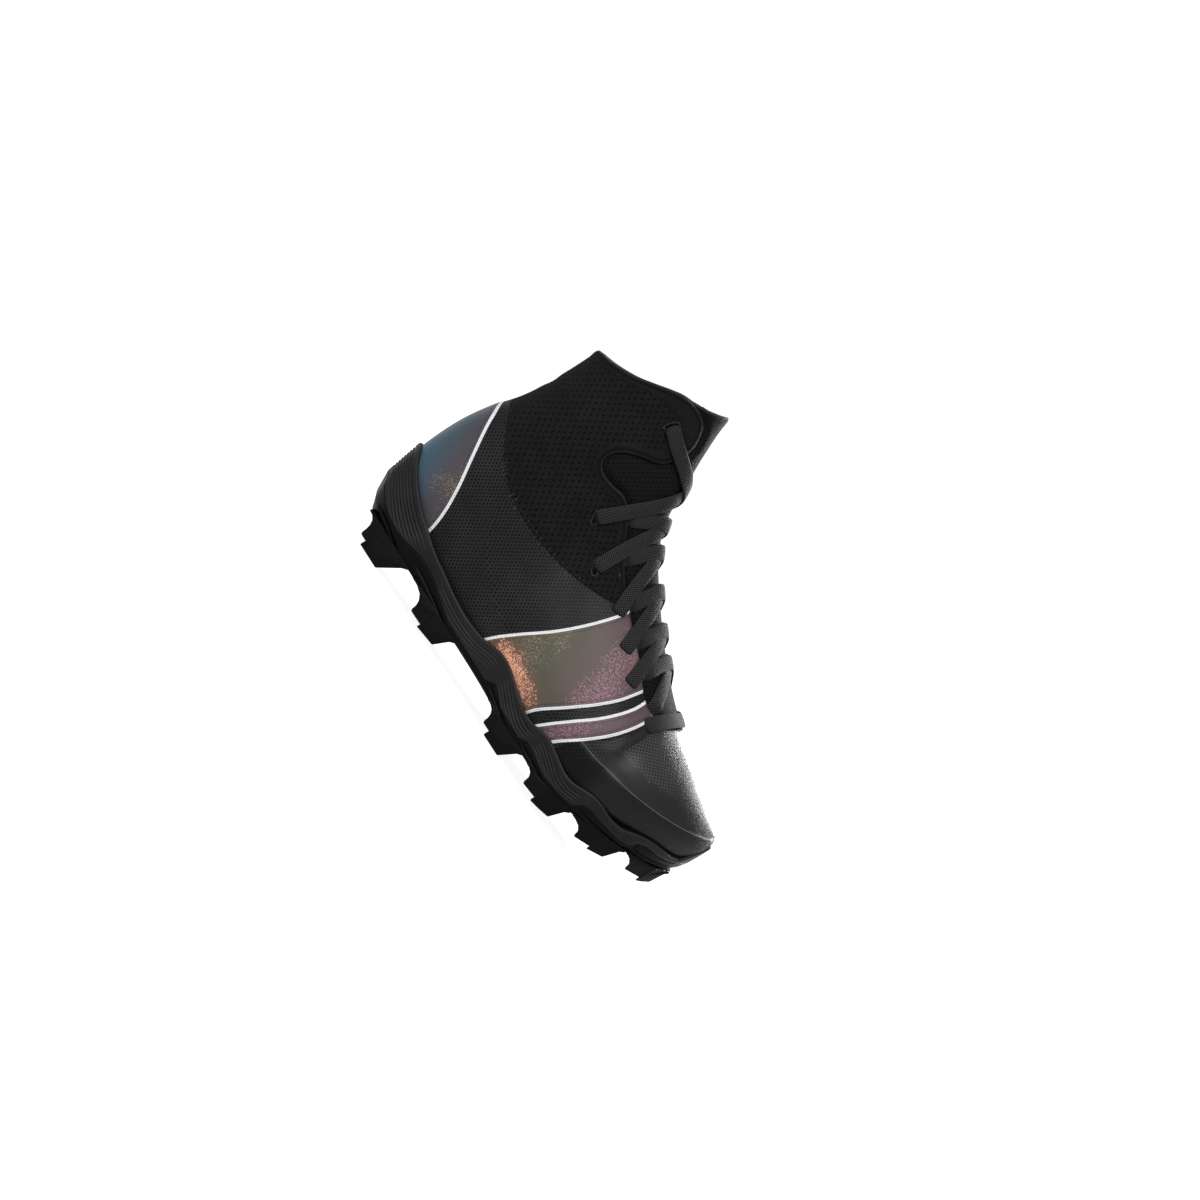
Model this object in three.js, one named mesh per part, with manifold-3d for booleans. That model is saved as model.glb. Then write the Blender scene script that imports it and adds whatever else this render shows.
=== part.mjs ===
// American football cleat: a high-top right shoe with twelve moulded blade studs.
// Millimetres. +X points to the toe, +Y to the inner side of the foot and +Z up.
// The origin lies on the ground, below the middle of the shoe.
import * as THREE from 'three';
import { mergeVertices } from 'three/addons/utils/BufferGeometryUtils.js';
import Module from 'manifold-3d';

const wasm = await Module();
wasm.setup();

// Driving sizes
const length = 305; // sole, from heel to toe
const ballWidth = 104; // sole across the ball of the foot
const upperHeight = 205; // foot bed to the top of the tongue
const cupHeight = 38.6; // foot bed to the rim of the midsole at the back of the heel
const toeSpring = 33; // rise of the foot bed from the ball to the toe tip
const heelDrop = 3.4; // rise of the foot bed from the ball to the heel
const studLength = 12.6;
const studThickness = 15; // across the shoe, where a stud meets the plate
const studTaper = 2.6; // by which each side of a stud slants in, from plate to tip
const studEdge = 2.5; // from the edge of the plate to the outer face of a stud
const studRoot = 1; // by which a stud reaches into the plate
const wingThickness = 11; // of the short blade at the rear of a stud
const plateThickness = 4.2;
const midsoleFloor = 4.2;
const ribDepth = 0.7; // of the grooves in the side of the midsole
const lipRadius = 1.4; // rounding of the midsole's upper rim
const flangeThickness = 1.6; // of the plate's rim, where it climbs the side of the midsole
const wall = 2.2; // of the upper
const tonguePadding = 2.6;
const overlayStep = 0.6; // by which the panels stand proud of the upper
const bindingWidth = 5.6; // along the collar and the keyholes
const insoleBoard = 2.7;
const insoleThickness = 6;
const laceWidth = 7.8;
const laceThickness = 1.6;
const laceLift = 0.8; // from the surface that a lace lies on
const slitLength = 9; // of a lace eyelet
const slitHeight = 2.6;
const crossingRise = 1.3; // of the upper strand of a lace over the lower one
const clearance = 0.3; // between pieces that touch
const tongueEdgeGap = 1.2; // between the padded tongue and the edge of the throat
const gapBlend = 1; // climb of the plate's rim over which its side gap opens
const throatFlare = 10; // by which the cut above the throat widens towards the toe
const cutMargin = 30; // by which cutting outlines pass the shoe
const joinOverlap = 1; // between two solids that are joined

const standHeight = studLength + plateThickness + midsoleFloor;

// How finely the surfaces are divided
const ringStep = 0.8; // in rows of the section table
const ringColumns = 20;
const outlineSteps = 72;
const ribCount = 3;
const laceSteps = 8;
const bandSteps = 12;
const searchSteps = 30;

// Foot bed along the shoe
// [place / length, rise / heelDrop, rise / toeSpring]
const footBed = [
  [0.0, 1.0, 0],
  [0.105, 1.0, 0],
  [0.203, 0.97, 0],
  [0.328, 0.74, 0],
  [0.452, 0.59, 0],
  [0.564, 0.15, 0],
  [0.656, 0.0, 0],
  [0.702, 0, 0.024],
  [0.738, 0, 0.067],
  [0.77, 0, 0.133],
  [0.807, 0, 0.224],
  [0.872, 0, 0.455],
  [0.921, 0, 0.606],
  [0.954, 0, 0.712],
  [0.975, 0, 0.803],
  [1.0, 0, 1.0],
];

// Sections of the last, from the toe tip to the collar, each in a plane that holds
// its top and bottom points. Places are shares of length, heights above the foot bed
// shares of upperHeight, and widths shares of ballWidth. "widest" is the share of the
// section's height, from its top, at which it is widest. The three powers round its
// upper outer, upper inner and lower quarters: 2 is an ellipse, more is squarer.
// [top place, top height, bottom place, bottom height, ridge, outer, inner, widest, powers]
const lastSections = [
  [0.995, 0.076, 0.995, 0.057, 0.091, 0.034, 0.034, 0.5, 2.0, 2.0, 2.0],
  [0.991, 0.116, 0.99, 0.027, 0.088, 0.091, 0.087, 0.53, 2.0, 2.0, 2.1],
  [0.98, 0.155, 0.979, 0.007, 0.085, 0.154, 0.149, 0.57, 2.1, 2.1, 2.4],
  [0.961, 0.189, 0.956, 0.002, 0.08, 0.24, 0.226, 0.61, 2.1, 2.2, 2.8],
  [0.931, 0.221, 0.921, 0.0, 0.072, 0.337, 0.308, 0.65, 2.1, 2.2, 3.2],
  [0.885, 0.262, 0.872, 0.0, 0.061, 0.428, 0.375, 0.69, 2.0, 2.2, 3.8],
  [0.82, 0.321, 0.807, 0.0, 0.05, 0.495, 0.413, 0.73, 1.9, 2.2, 4.4],
  [0.751, 0.374, 0.738, 0.0, 0.04, 0.519, 0.416, 0.76, 1.8, 2.15, 4.8],
  [0.679, 0.425, 0.656, 0.0, 0.031, 0.51, 0.394, 0.78, 1.75, 2.1, 5.0],
  [0.603, 0.477, 0.564, 0.0, 0.021, 0.469, 0.349, 0.79, 1.75, 2.0, 4.8],
  [0.531, 0.53, 0.452, 0.0, 0.012, 0.415, 0.317, 0.79, 1.75, 1.95, 4.6],
  [0.47, 0.58, 0.328, 0.0, 0.005, 0.373, 0.317, 0.77, 1.8, 1.9, 4.4],
  [0.43, 0.627, 0.203, 0.0, 0.0, 0.349, 0.327, 0.71, 1.85, 1.95, 4.0],
  [0.404, 0.672, 0.105, 0.01, 0.0, 0.339, 0.33, 0.63, 1.95, 2.0, 3.3],
  [0.388, 0.713, 0.043, 0.047, 0.0, 0.339, 0.332, 0.56, 2.0, 2.0, 2.8],
  [0.375, 0.75, 0.016, 0.11, 0.0, 0.344, 0.337, 0.52, 2.0, 2.0, 2.5],
  [0.363, 0.784, 0.009, 0.188, 0.0, 0.349, 0.344, 0.5, 2.0, 2.0, 2.35],
  [0.353, 0.818, 0.007, 0.271, 0.0, 0.352, 0.349, 0.5, 2.0, 2.0, 2.25],
  [0.342, 0.852, 0.01, 0.349, 0.0, 0.354, 0.352, 0.5, 2.0, 2.0, 2.2],
  [0.332, 0.885, 0.02, 0.432, 0.0, 0.352, 0.352, 0.5, 2.05, 2.05, 2.15],
  [0.322, 0.919, 0.035, 0.515, 0.0, 0.349, 0.349, 0.5, 2.1, 2.1, 2.1],
  [0.313, 0.953, 0.043, 0.603, 0.0, 0.346, 0.346, 0.5, 2.1, 2.1, 2.1],
  [0.305, 0.99, 0.045, 0.7, 0.0, 0.346, 0.346, 0.5, 2.1, 2.1, 2.1],
  [0.296, 1.031, 0.045, 0.808, 0.0, 0.348, 0.348, 0.5, 2.1, 2.1, 2.1],
  [0.282, 1.094, 0.047, 0.915, 0.0, 0.351, 0.351, 0.5, 2.1, 2.1, 2.1],
];

// Outline of the sole from above, from the heel to the toe tip
// [place / length, outer half / ballWidth, inner half / ballWidth]
const solePlan = [
  [0.0, 0.0, 0.0],
  [0.005, 0.101, 0.101],
  [0.016, 0.178, 0.178],
  [0.039, 0.25, 0.25],
  [0.082, 0.317, 0.317],
  [0.148, 0.361, 0.356],
  [0.23, 0.373, 0.356],
  [0.328, 0.385, 0.341],
  [0.426, 0.413, 0.346],
  [0.525, 0.462, 0.375],
  [0.623, 0.498, 0.431],
  [0.705, 0.512, 0.481],
  [0.787, 0.486, 0.5],
  [0.859, 0.413, 0.486],
  [0.918, 0.308, 0.433],
  [0.957, 0.202, 0.356],
  [0.984, 0.087, 0.26],
  [0.995, 0.0, 0.173],
  [1.0, -0.087, 0.087],
];

// Rim of the midsole: [place / length, height above the foot bed / cupHeight]
const cupRim = [
  [0.0, 1.0],
  [0.012, 0.951],
  [0.037, 0.798],
  [0.069, 0.655],
  [0.095, 0.56],
  [0.13, 0.459],
  [0.166, 0.38],
  [0.201, 0.306],
  [0.254, 0.247],
  [0.295, 0.202],
  [0.35, 0.181],
  [0.391, 0.214],
  [0.414, 0.268],
  [0.439, 0.338],
  [0.468, 0.35],
  [0.496, 0.311],
  [0.532, 0.24],
  [0.568, 0.195],
  [0.591, 0.209],
  [0.613, 0.269],
  [0.636, 0.298],
  [0.662, 0.272],
  [0.689, 0.224],
  [0.711, 0.187],
  [0.734, 0.192],
  [0.759, 0.238],
  [0.782, 0.258],
  [0.807, 0.218],
  [0.827, 0.148],
  [0.849, 0.098],
  [0.866, 0.087],
  [0.883, 0.13],
  [0.902, 0.174],
  [0.921, 0.189],
  [0.948, 0.174],
  [0.974, 0.141],
  [0.986, 0.16],
  [0.993, 0.33],
  [1.0, 0.52],
];

// Upper edge of the plate, which climbs the midsole over each stud
// [place / length, height above the foot bed / cupHeight]
const plateEdge = [
  [0.0, 0.337],
  [0.012, 0.321],
  [0.024, 0.223],
  [0.042, 0.14],
  [0.06, 0.067],
  [0.081, 0.013],
  [0.118, -0.018],
  [0.157, 0.014],
  [0.19, 0.075],
  [0.22, 0.08],
  [0.243, 0.064],
  [0.279, -0.011],
  [0.315, -0.085],
  [0.348, -0.143],
  [0.459, -0.143],
  [0.472, -0.066],
  [0.485, 0.001],
  [0.508, -0.051],
  [0.534, -0.119],
  [0.551, -0.144],
  [0.59, -0.141],
  [0.603, -0.08],
  [0.616, -0.031],
  [0.649, -0.055],
  [0.685, -0.109],
  [0.708, -0.144],
  [0.764, -0.144],
  [0.777, -0.004],
  [0.793, 0.039],
  [0.823, -0.008],
  [0.859, -0.083],
  [0.882, -0.124],
  [0.895, -0.099],
  [0.908, 0.029],
  [0.951, 0.035],
  [0.984, 0.034],
  [1.0, 0.041],
];

// Side of the sole: how far its wall leans in from rim to plate, how far the plate is
// cut under, in shares of cupHeight, and how deep the grooves are
// [place / length, lean, undercut, groove depth / ribDepth]
const soleSide = [
  [0.0, 0.08, 0.37, 1.0],
  [0.08, 0.05, 0.16, 1.0],
  [0.16, 0.03, 0.09, 0.8],
  [0.24, 0.03, 0.08, 0.2],
  [0.45, 0.03, 0.08, 0.2],
  [0.51, 0.03, 0.08, 0.8],
  [0.6, 0.03, 0.08, 0.4],
  [0.66, 0.03, 0.08, 0.8],
  [0.78, 0.03, 0.08, 0.3],
  [0.85, 0.03, 0.08, 0.7],
  [0.92, 0.03, 0.08, 0.2],
  [1.0, 0.02, 0.08, 0.0],
];

// The plate's side is steeper above this knee: [share of the way down, share of undercut]
const undercutKnee = [0.6, 0.45];
const lipCorner = 0.3; // share of lipRadius by which the middle of the rounding is in and down

// Studs of one side, from the heel. The wing is the short blade at the rear of each.
// [rear / length, front / length, then shares of that: wing start, wing end, tip end,
//  and shares of studLength: wing height, height of the tip's rear, and of its front]
const studRows = [
  [0.065, 0.198, 0.175, 0.31, 0.73, 0.31, 0.0, 0.0],
  [0.224, 0.369, 0.317, 0.552, 0.878, 0.31, 0.12, 0.25],
  [0.505, 0.627, 0.23, 0.41, 0.813, 0.31, 0.0, 0.0],
  [0.653, 0.773, 0.19, 0.5, 0.893, 0.31, 0.06, 0.12],
  [0.788, 0.9, 0.274, 0.6, 0.886, 0.2, 0.0, 0.1],
  [0.908, 0.989, 0.285, 0.7, 0.951, 0.25, 0.0, 0.15],
];
const wingWaist = 0.6; // share of the wing's start at which its scooped rear bends
const wingReach = 0.1; // share of the stud by which the wing runs into the block

// Edges in the side view: [place / length, height above the foot bed / upperHeight]
const collarRim = [
  [0.046, 0.781],
  [0.085, 0.798],
  [0.127, 0.827],
  [0.154, 0.854],
  [0.189, 0.892],
  [0.211, 0.913],
  [0.242, 0.929],
  [0.267, 0.93],
  [0.287, 0.92],
  [0.303, 0.893],
  [0.315, 0.856],
  [0.317, 0.827],
  [0.313, 0.79],
];
const keyhole = [
  [0.305, 0.756],
  [0.267, 0.713],
  [0.242, 0.675],
  [0.233, 0.641],
  [0.236, 0.618],
  [0.25, 0.601],
  [0.267, 0.598],
  [0.292, 0.604],
  [0.32, 0.612],
];
const throat = [
  [0.358, 0.584],
  [0.404, 0.529],
  [0.459, 0.477],
  [0.52, 0.441],
  [0.612, 0.391],
  [0.669, 0.35],
  [0.708, 0.334],
  [0.744, 0.336],
  [0.762, 0.357],
];
const tongueOutline = [
  [0.164, 0.808],
  [0.18, 0.876],
  [0.22, 0.914],
  [0.259, 0.945],
  [0.289, 0.975],
  [0.303, 0.993],
  [0.36, 0.98],
  [0.5, 0.8],
  [0.82, 0.5],
  [0.78, 0.301],
  [0.741, 0.276],
  [0.672, 0.286],
  [0.59, 0.325],
  [0.508, 0.36],
  [0.443, 0.395],
  [0.387, 0.482],
  [0.311, 0.539],
  [0.216, 0.545],
  [0.19, 0.613],
  [0.184, 0.735],
];
const heelPanel = [
  [-0.03, 0.0],
  [0.1, 0.0],
  [0.262, 0.06],
  [0.236, 0.16],
  [0.178, 0.27],
  [0.112, 0.37],
  [-0.03, 0.4],
];
const toeGuard = [
  [0.738, -0.02],
  [0.75, 0.135],
  [0.792, 0.13],
  [0.847, 0.124],
  [0.902, 0.118],
  [0.928, 0.124],
  [0.96, 0.13],
  [1.03, 0.11],
  [1.03, -0.1],
];

const bindingZone = [
  [0.0, 0.6],
  [0.5, 0.6],
  [0.5, 1.2],
  [0.0, 1.2],
];

// Where pieces start and end inside the shoe: [place / length, place / length]
const openBottom = [0.05, 0.975];
const boardSpan = [0.11, 0.965];
const cushionSpan = [0.05, 0.965];

// Lace eyelets of one side, from the toe, with the slant of each slit in degrees
// [place / length, height above the foot bed / upperHeight, slant]
const eyelets = [
  [0.719, 0.297, -20],
  [0.632, 0.33, -22],
  [0.571, 0.37, -24],
  [0.502, 0.408, -26],
  [0.403, 0.426, -40],
  [0.321, 0.509, -60],
  [0.254, 0.841, 70],
];
// Where the lace crosses the ridge of the tongue, as shares of length: first the bar,
// then the six crossings, each between two pairs of eyelets
const barPlace = 0.751;
const crossingPlaces = [0.643, 0.584, 0.515, 0.449, 0.41, 0.372];
const strandHidden = 0.3; // share of a strand that lies under the edge of the throat
const crossingSpan = 0.4; // share of a strand that rises over the other one
const strandRunStep = 0.02; // share of a strand over which its direction is taken
const slitShoulder = 0.7; // share of a slit's length that has its full height

// A smooth curve through the rows of a table, whose first column is the position
function curveThrough(rows) {
  const positions = rows.map((row) => row[0]);
  const values = rows.flatMap((row) => row.slice(1));
  const curve = new THREE.CubicInterpolant(positions, values, rows[0].length - 1);
  return (position) => Array.from(curve.evaluate(position));
}

const footBedCurve = curveThrough(footBed);
const sectionCurve = curveThrough(lastSections.map((row, place) => [place, ...row]));
const cupRimCurve = curveThrough(cupRim);
const plateEdgeCurve = curveThrough(plateEdge);
const soleSideCurve = curveThrough(soleSide);
const planCurve = curveThrough(solePlan);
const lastRow = lastSections.length - 1;

// The surface that the stud tips reach, which is flat from the heel to the ball
function treadHeight(x) {
  return Math.max(footBedCurve(x / length)[1], 0) * toeSpring;
}

// Heights along the shoe, at a place x
function footBedHeight(x) {
  return standHeight + footBedCurve(x / length)[0] * heelDrop + treadHeight(x);
}

function undersideHeight(x) {
  return footBedHeight(x) - midsoleFloor - plateThickness;
}

function rimHeight(x) {
  return footBedHeight(x) + cupRimCurve(x / length)[0] * cupHeight;
}

function plateEdgeHeight(x) {
  const climbing = footBedHeight(x) + plateEdgeCurve(x / length)[0] * cupHeight;
  return Math.max(climbing, undersideHeight(x) + plateThickness);
}

// A point of the side view, from a place and a height above the foot bed
function sidePoint([place, height]) {
  const x = place * length;
  return [x, footBedHeight(x) + height * upperHeight];
}

// The section of the last at a row of its table, in millimetres
function lastSection(row) {
  const shares = sectionCurve(THREE.MathUtils.clamp(row, 0, lastRow));
  const [topX, topZ] = sidePoint(shares.slice(0, 2));
  const [bottomX, bottomZ] = sidePoint(shares.slice(2, 4));
  const [ridge, outer, inner] = shares.slice(4, 7).map((share) => share * ballWidth);
  const [widest, outerPower, innerPower, lowerPower] = shares.slice(7);
  const top = new THREE.Vector3(topX, ridge, topZ);
  const bottom = new THREE.Vector3(bottomX, ridge, bottomZ);
  return { top, bottom, outer, inner, widest, outerPower, innerPower, lowerPower };
}

// A point of the last's surface. The angle is 0 at the top and half a turn at the
// bottom, positive on the outer side of the foot and negative on the inner side.
function surfacePoint(row, angle) {
  const section = lastSection(row);
  const onOuterSide = angle >= 0;
  const turn = Math.abs(angle);
  const halfWidth = onOuterSide ? section.outer : section.inner;
  const upperPower = onOuterSide ? section.outerPower : section.innerPower;
  const power = turn <= Math.PI / 2 ? upperPower : section.lowerPower;
  const across = halfWidth * Math.abs(Math.sin(turn)) ** (2 / power);
  const down = Math.abs(Math.cos(turn)) ** (2 / power);
  const depth =
    turn <= Math.PI / 2
      ? section.widest * (1 - down)
      : section.widest + (1 - section.widest) * down;
  const point = section.top.clone().lerp(section.bottom, depth);
  point.y += onOuterSide ? -across : across;
  return point;
}

function surfaceNormal(row, angle) {
  const rowStep = 0.2;
  const angleStep = Math.PI / ringColumns;
  const turned = (step) => {
    const moved = angle + step;
    return moved > Math.PI ? moved - 2 * Math.PI : moved;
  };
  const along = surfacePoint(row + rowStep, angle).sub(surfacePoint(row - rowStep, angle));
  const around = surfacePoint(row, turned(angleStep)).sub(surfacePoint(row, turned(-angleStep)));
  return along.cross(around).normalize();
}

// A point at a distance outside the last, or inside it where that is negative
function grownPoint(row, angle, grow) {
  return surfacePoint(row, angle).addScaledVector(surfaceNormal(row, angle), grow);
}

// The row of the section table from which on a test of the row holds
function firstRowWhere(holds) {
  let low = 0;
  let high = lastRow;
  for (let step = 0; step < searchSteps; step += 1) {
    const middle = (low + high) / 2;
    if (holds(middle)) high = middle;
    else low = middle;
  }
  return low;
}

// The row and angle of the last's surface that the side view shows at [x, z]
function spotInSideView([x, z]) {
  const row = firstRowWhere((place) => {
    const section = lastSection(place);
    const run = section.bottom.clone().sub(section.top);
    return run.x * (z - section.top.z) - run.z * (x - section.top.x) > 0;
  });
  const { top, bottom, widest, outerPower, lowerPower } = lastSection(row);
  const depth = Math.hypot(x - top.x, z - top.z) / top.distanceTo(bottom);
  const angle =
    depth <= widest
      ? Math.acos((1 - depth / widest) ** (outerPower / 2))
      : Math.PI - Math.acos(((depth - widest) / (1 - widest)) ** (lowerPower / 2));
  return new THREE.Vector2(row, angle);
}

// The row of the last whose top is at a share of the length
function rowOfRidge(place) {
  return firstRowWhere((row) => lastSection(row).top.x < place * length);
}

// A solid for cutting and joining, from a closed geometry
function solidFrom(geometry) {
  geometry.deleteAttribute('normal');
  geometry.deleteAttribute('uv');
  const merged = mergeVertices(geometry);
  const corners = [];
  for (let at = 0; at < merged.index.count; at += 3) {
    const face = [0, 1, 2].map((corner) => merged.index.getX(at + corner));
    if (new Set(face).size === 3) corners.push(...face);
  }
  const vertProperties = merged.attributes.position.array;
  const triVerts = new Uint32Array(corners);
  return new wasm.Manifold(new wasm.Mesh({ numProp: 3, vertProperties, triVerts }));
}

// A closed body over loops of points that all have the same even count. Each end is
// filled with strips between the two halves of its loop.
function skinSolid(loops) {
  const around = loops[0].length;
  const corners = [];
  for (let loop = 0; loop + 1 < loops.length; loop += 1) {
    for (let point = 0; point < around; point += 1) {
      const next = (point + 1) % around;
      const here = loop * around;
      const there = here + around;
      corners.push(here + point, there + point, there + next);
      corners.push(here + point, there + next, here + next);
    }
  }
  const end = (loops.length - 1) * around;
  for (let point = 0; point < around / 2; point += 1) {
    const left = [point, point + 1];
    const right = [(around - point) % around, around - point - 1];
    corners.push(left[0], left[1], right[1], left[0], right[1], right[0]);
    corners.push(end + left[1], end + left[0], end + right[1]);
    corners.push(end + right[1], end + left[0], end + right[0]);
  }
  const geometry = new THREE.BufferGeometry().setFromPoints(loops.flat());
  geometry.setIndex(corners);
  return solidFrom(geometry);
}

// A solid that fills an outline of the side view, across the whole shoe
function acrossShoe(outline) {
  const shape = new THREE.Shape(outline.map(([x, z]) => new THREE.Vector2(x, z)));
  const depth = 2 * ballWidth;
  const geometry = new THREE.ExtrudeGeometry(shape, { depth, bevelEnabled: false });
  geometry.rotateX(Math.PI / 2);
  geometry.translate(0, depth / 2, 0);
  return solidFrom(geometry);
}

// An outline with every edge moved outwards by a distance
function widened(outline, distance) {
  const sharpest = 0.5;
  const points = outline.map(([x, z]) => new THREE.Vector2(x, z));
  const sense = Math.sign(THREE.ShapeUtils.area(points));
  return points.map((point, index) => {
    const before = points[(index + points.length - 1) % points.length];
    const after = points[(index + 1) % points.length];
    const normals = [point.clone().sub(before), after.clone().sub(point)].map((edge) =>
      new THREE.Vector2(edge.y, -edge.x).normalize().multiplyScalar(sense),
    );
    const middle = normals[0].clone().add(normals[1]).normalize();
    const reach = distance / Math.max(middle.dot(normals[0]), sharpest);
    return [point.x + middle.x * reach, point.y + middle.y * reach];
  });
}

// The whole last, grown by a distance
function lastSolid(grow) {
  const rings = [];
  const ringCount = Math.round(lastRow / ringStep);
  for (let ring = 0; ring <= ringCount; ring += 1) {
    const row = (ring / ringCount) * lastRow;
    const points = [];
    for (let column = 0; column < ringColumns; column += 1) {
      const angle = (column / ringColumns) * 2 * Math.PI;
      points.push(grownPoint(row, angle > Math.PI ? angle - 2 * Math.PI : angle, grow));
    }
    rings.push(points);
  }
  return skinSolid(rings);
}

// The sole's outline from above, from the heel along the outer side to the toe and back
function soleOutline() {
  const along = solePlan.map(([place, outer, inner]) => ({
    x: place * length,
    outer: -outer * ballWidth,
    inner: inner * ballWidth,
  }));
  const points = along.map(({ x, outer }) => new THREE.Vector3(x, outer, 0));
  const back = along.slice(1, -1).reverse();
  points.push(...back.map(({ x, inner }) => new THREE.Vector3(x, inner, 0)));
  const curve = new THREE.CatmullRomCurve3(points, true, 'centripetal');
  return curve.getPoints(outlineSteps).slice(0, outlineSteps);
}

const outline = soleOutline();
const outlineNormals = outline.map((point, index) => {
  const before = outline[(index + outlineSteps - 1) % outlineSteps];
  const after = outline[(index + 1) % outlineSteps];
  return new THREE.Vector3(after.y - before.y, before.x - after.x, 0).normalize();
});

// A loop round the sole, whose height and distance inside the outline follow x
function soleLoop(heightAt, insetAt) {
  return outline.map((point, index) => {
    const moved = point.clone().addScaledVector(outlineNormals[index], -insetAt(point.x));
    moved.z = heightAt(point.x);
    return moved;
  });
}

// Lean, undercut and groove depth of the sole's side at a place, in millimetres
function soleSideAt(x) {
  const [lean, undercut, groove] = soleSideCurve(x / length);
  return { lean: lean * cupHeight, undercut: undercut * cupHeight, groove: groove * ribDepth };
}

// Loops down the grooved side of the midsole from its rounded rim to the plate's edge,
// grown by a distance
function midsoleSideLoops(grow) {
  const loops = [
    soleLoop((x) => rimHeight(x) + grow, () => lipRadius - grow),
    soleLoop(
      (x) => rimHeight(x) - lipCorner * lipRadius + grow,
      () => lipCorner * lipRadius - grow,
    ),
    soleLoop((x) => rimHeight(x) - lipRadius, () => -grow),
  ];
  const steps = 2 * ribCount + 1;
  for (let step = 1; step <= steps; step += 1) {
    const share = step / steps;
    const isGroove = step % 2 === 1 && step < steps;
    const heightAt = (x) =>
      THREE.MathUtils.lerp(rimHeight(x) - lipRadius, plateEdgeHeight(x), share);
    const insetAt = (x) => {
      const { lean, groove } = soleSideAt(x);
      return lean * share + (isGroove ? groove : 0) - grow;
    };
    loops.push(soleLoop(heightAt, insetAt));
  }
  return loops;
}

// Loops of the parting face between plate and midsole, from the plate's edge to its flat
// top, lowered by a gap. The plate's rim climbs the side of the midsole as a flange.
function partingLoops(gap) {
  const plateTop = (x) => undersideHeight(x) + plateThickness;
  const flangeFace = (x, cut) => {
    const climb = Math.min((plateEdgeHeight(x) - plateTop(x)) / gapBlend, 1);
    const { lean, undercut } = soleSideAt(x);
    return lean + undercut * cut + flangeThickness - gap * climb;
  };
  const foot = (x) => {
    const down = (plateEdgeHeight(x) - plateTop(x)) / (plateEdgeHeight(x) - undersideHeight(x));
    return flangeFace(x, undercutAt(down));
  };
  return [
    soleLoop((x) => plateEdgeHeight(x) - gap, (x) => flangeFace(x, 0)),
    soleLoop((x) => plateTop(x) - gap, foot),
  ];
}

// How much of its undercut the plate's side has reached at a share of the way down
function undercutAt(down) {
  const [knee, kneeCut] = undercutKnee;
  if (down <= knee) return (down / knee) * kneeCut;
  return kneeCut + ((down - knee) / (1 - knee)) * (1 - kneeCut);
}

// The midsole as a solid block, without the space for the foot
function midsoleBlock(grow = 0) {
  return skinSolid([...midsoleSideLoops(grow), ...partingLoops(0)]);
}

function plateSolid() {
  const sideAt = (down) =>
    soleLoop(
      (x) => THREE.MathUtils.lerp(plateEdgeHeight(x) - clearance, undersideHeight(x), down),
      (x) => soleSideAt(x).lean + soleSideAt(x).undercut * undercutAt(down),
    );
  return skinSolid([...partingLoops(clearance).reverse(), ...[0, undercutKnee[0], 1].map(sideAt)]);
}

// Half width of the sole at a place, on the outer side (-1) or the inner side (1)
function soleHalf(x, side) {
  return planCurve(x / length)[side < 0 ? 0 : 1] * ballWidth;
}

// A blade under the plate: a side-view outline given a thickness across the shoe that
// narrows towards the tip and follows the curve of the sole's edge
function blade(profile, side, thickness) {
  const depth = 1;
  const shape = new THREE.Shape(profile.map(([x, z]) => new THREE.Vector2(x, z)));
  const geometry = new THREE.ExtrudeGeometry(shape, { depth, bevelEnabled: false });
  geometry.rotateX(Math.PI / 2);
  const position = geometry.attributes.position;
  for (let index = 0; index < position.count; index += 1) {
    const x = position.getX(index);
    const z = position.getZ(index);
    const raised = THREE.MathUtils.clamp((z - treadHeight(x)) / studLength, 0, 1);
    const outerFace = side * (soleHalf(x, side) - studEdge - studTaper * (1 - raised));
    const innerFace = outerFace - side * (thickness - 2 * studTaper * (1 - raised));
    const pick = position.getY(index) > -depth / 2 ? Math.max : Math.min;
    position.setY(index, pick(outerFace, innerFace));
  }
  return solidFrom(geometry);
}

function studSolid(row, side) {
  const [rear, front, wingStart, wingEnd, tipEnd, wingHeight, tipRear, tipFront] = row;
  const placeAt = (share) => THREE.MathUtils.lerp(rear, front, share) * length;
  const corner = (share, height) => {
    const x = placeAt(share);
    return [x, treadHeight(x) + height * studLength];
  };
  const buried = (share) => {
    const x = placeAt(share);
    return [x, undersideHeight(x) + studRoot];
  };
  const waist = (1 + wingHeight) / 2;
  const wing = [
    buried(0),
    [placeAt(0), undersideHeight(placeAt(0))],
    corner(wingStart * wingWaist, waist),
    corner(wingStart, wingHeight),
    corner(wingEnd + wingReach, wingHeight),
    buried(wingEnd + wingReach),
  ];
  const block = [
    buried(wingEnd),
    corner(wingEnd, tipRear),
    corner(tipEnd, tipFront),
    [placeAt(1), undersideHeight(placeAt(1))],
    buried(1),
  ];
  return blade(wing, side, wingThickness).add(blade(block, side, studThickness));
}

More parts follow.
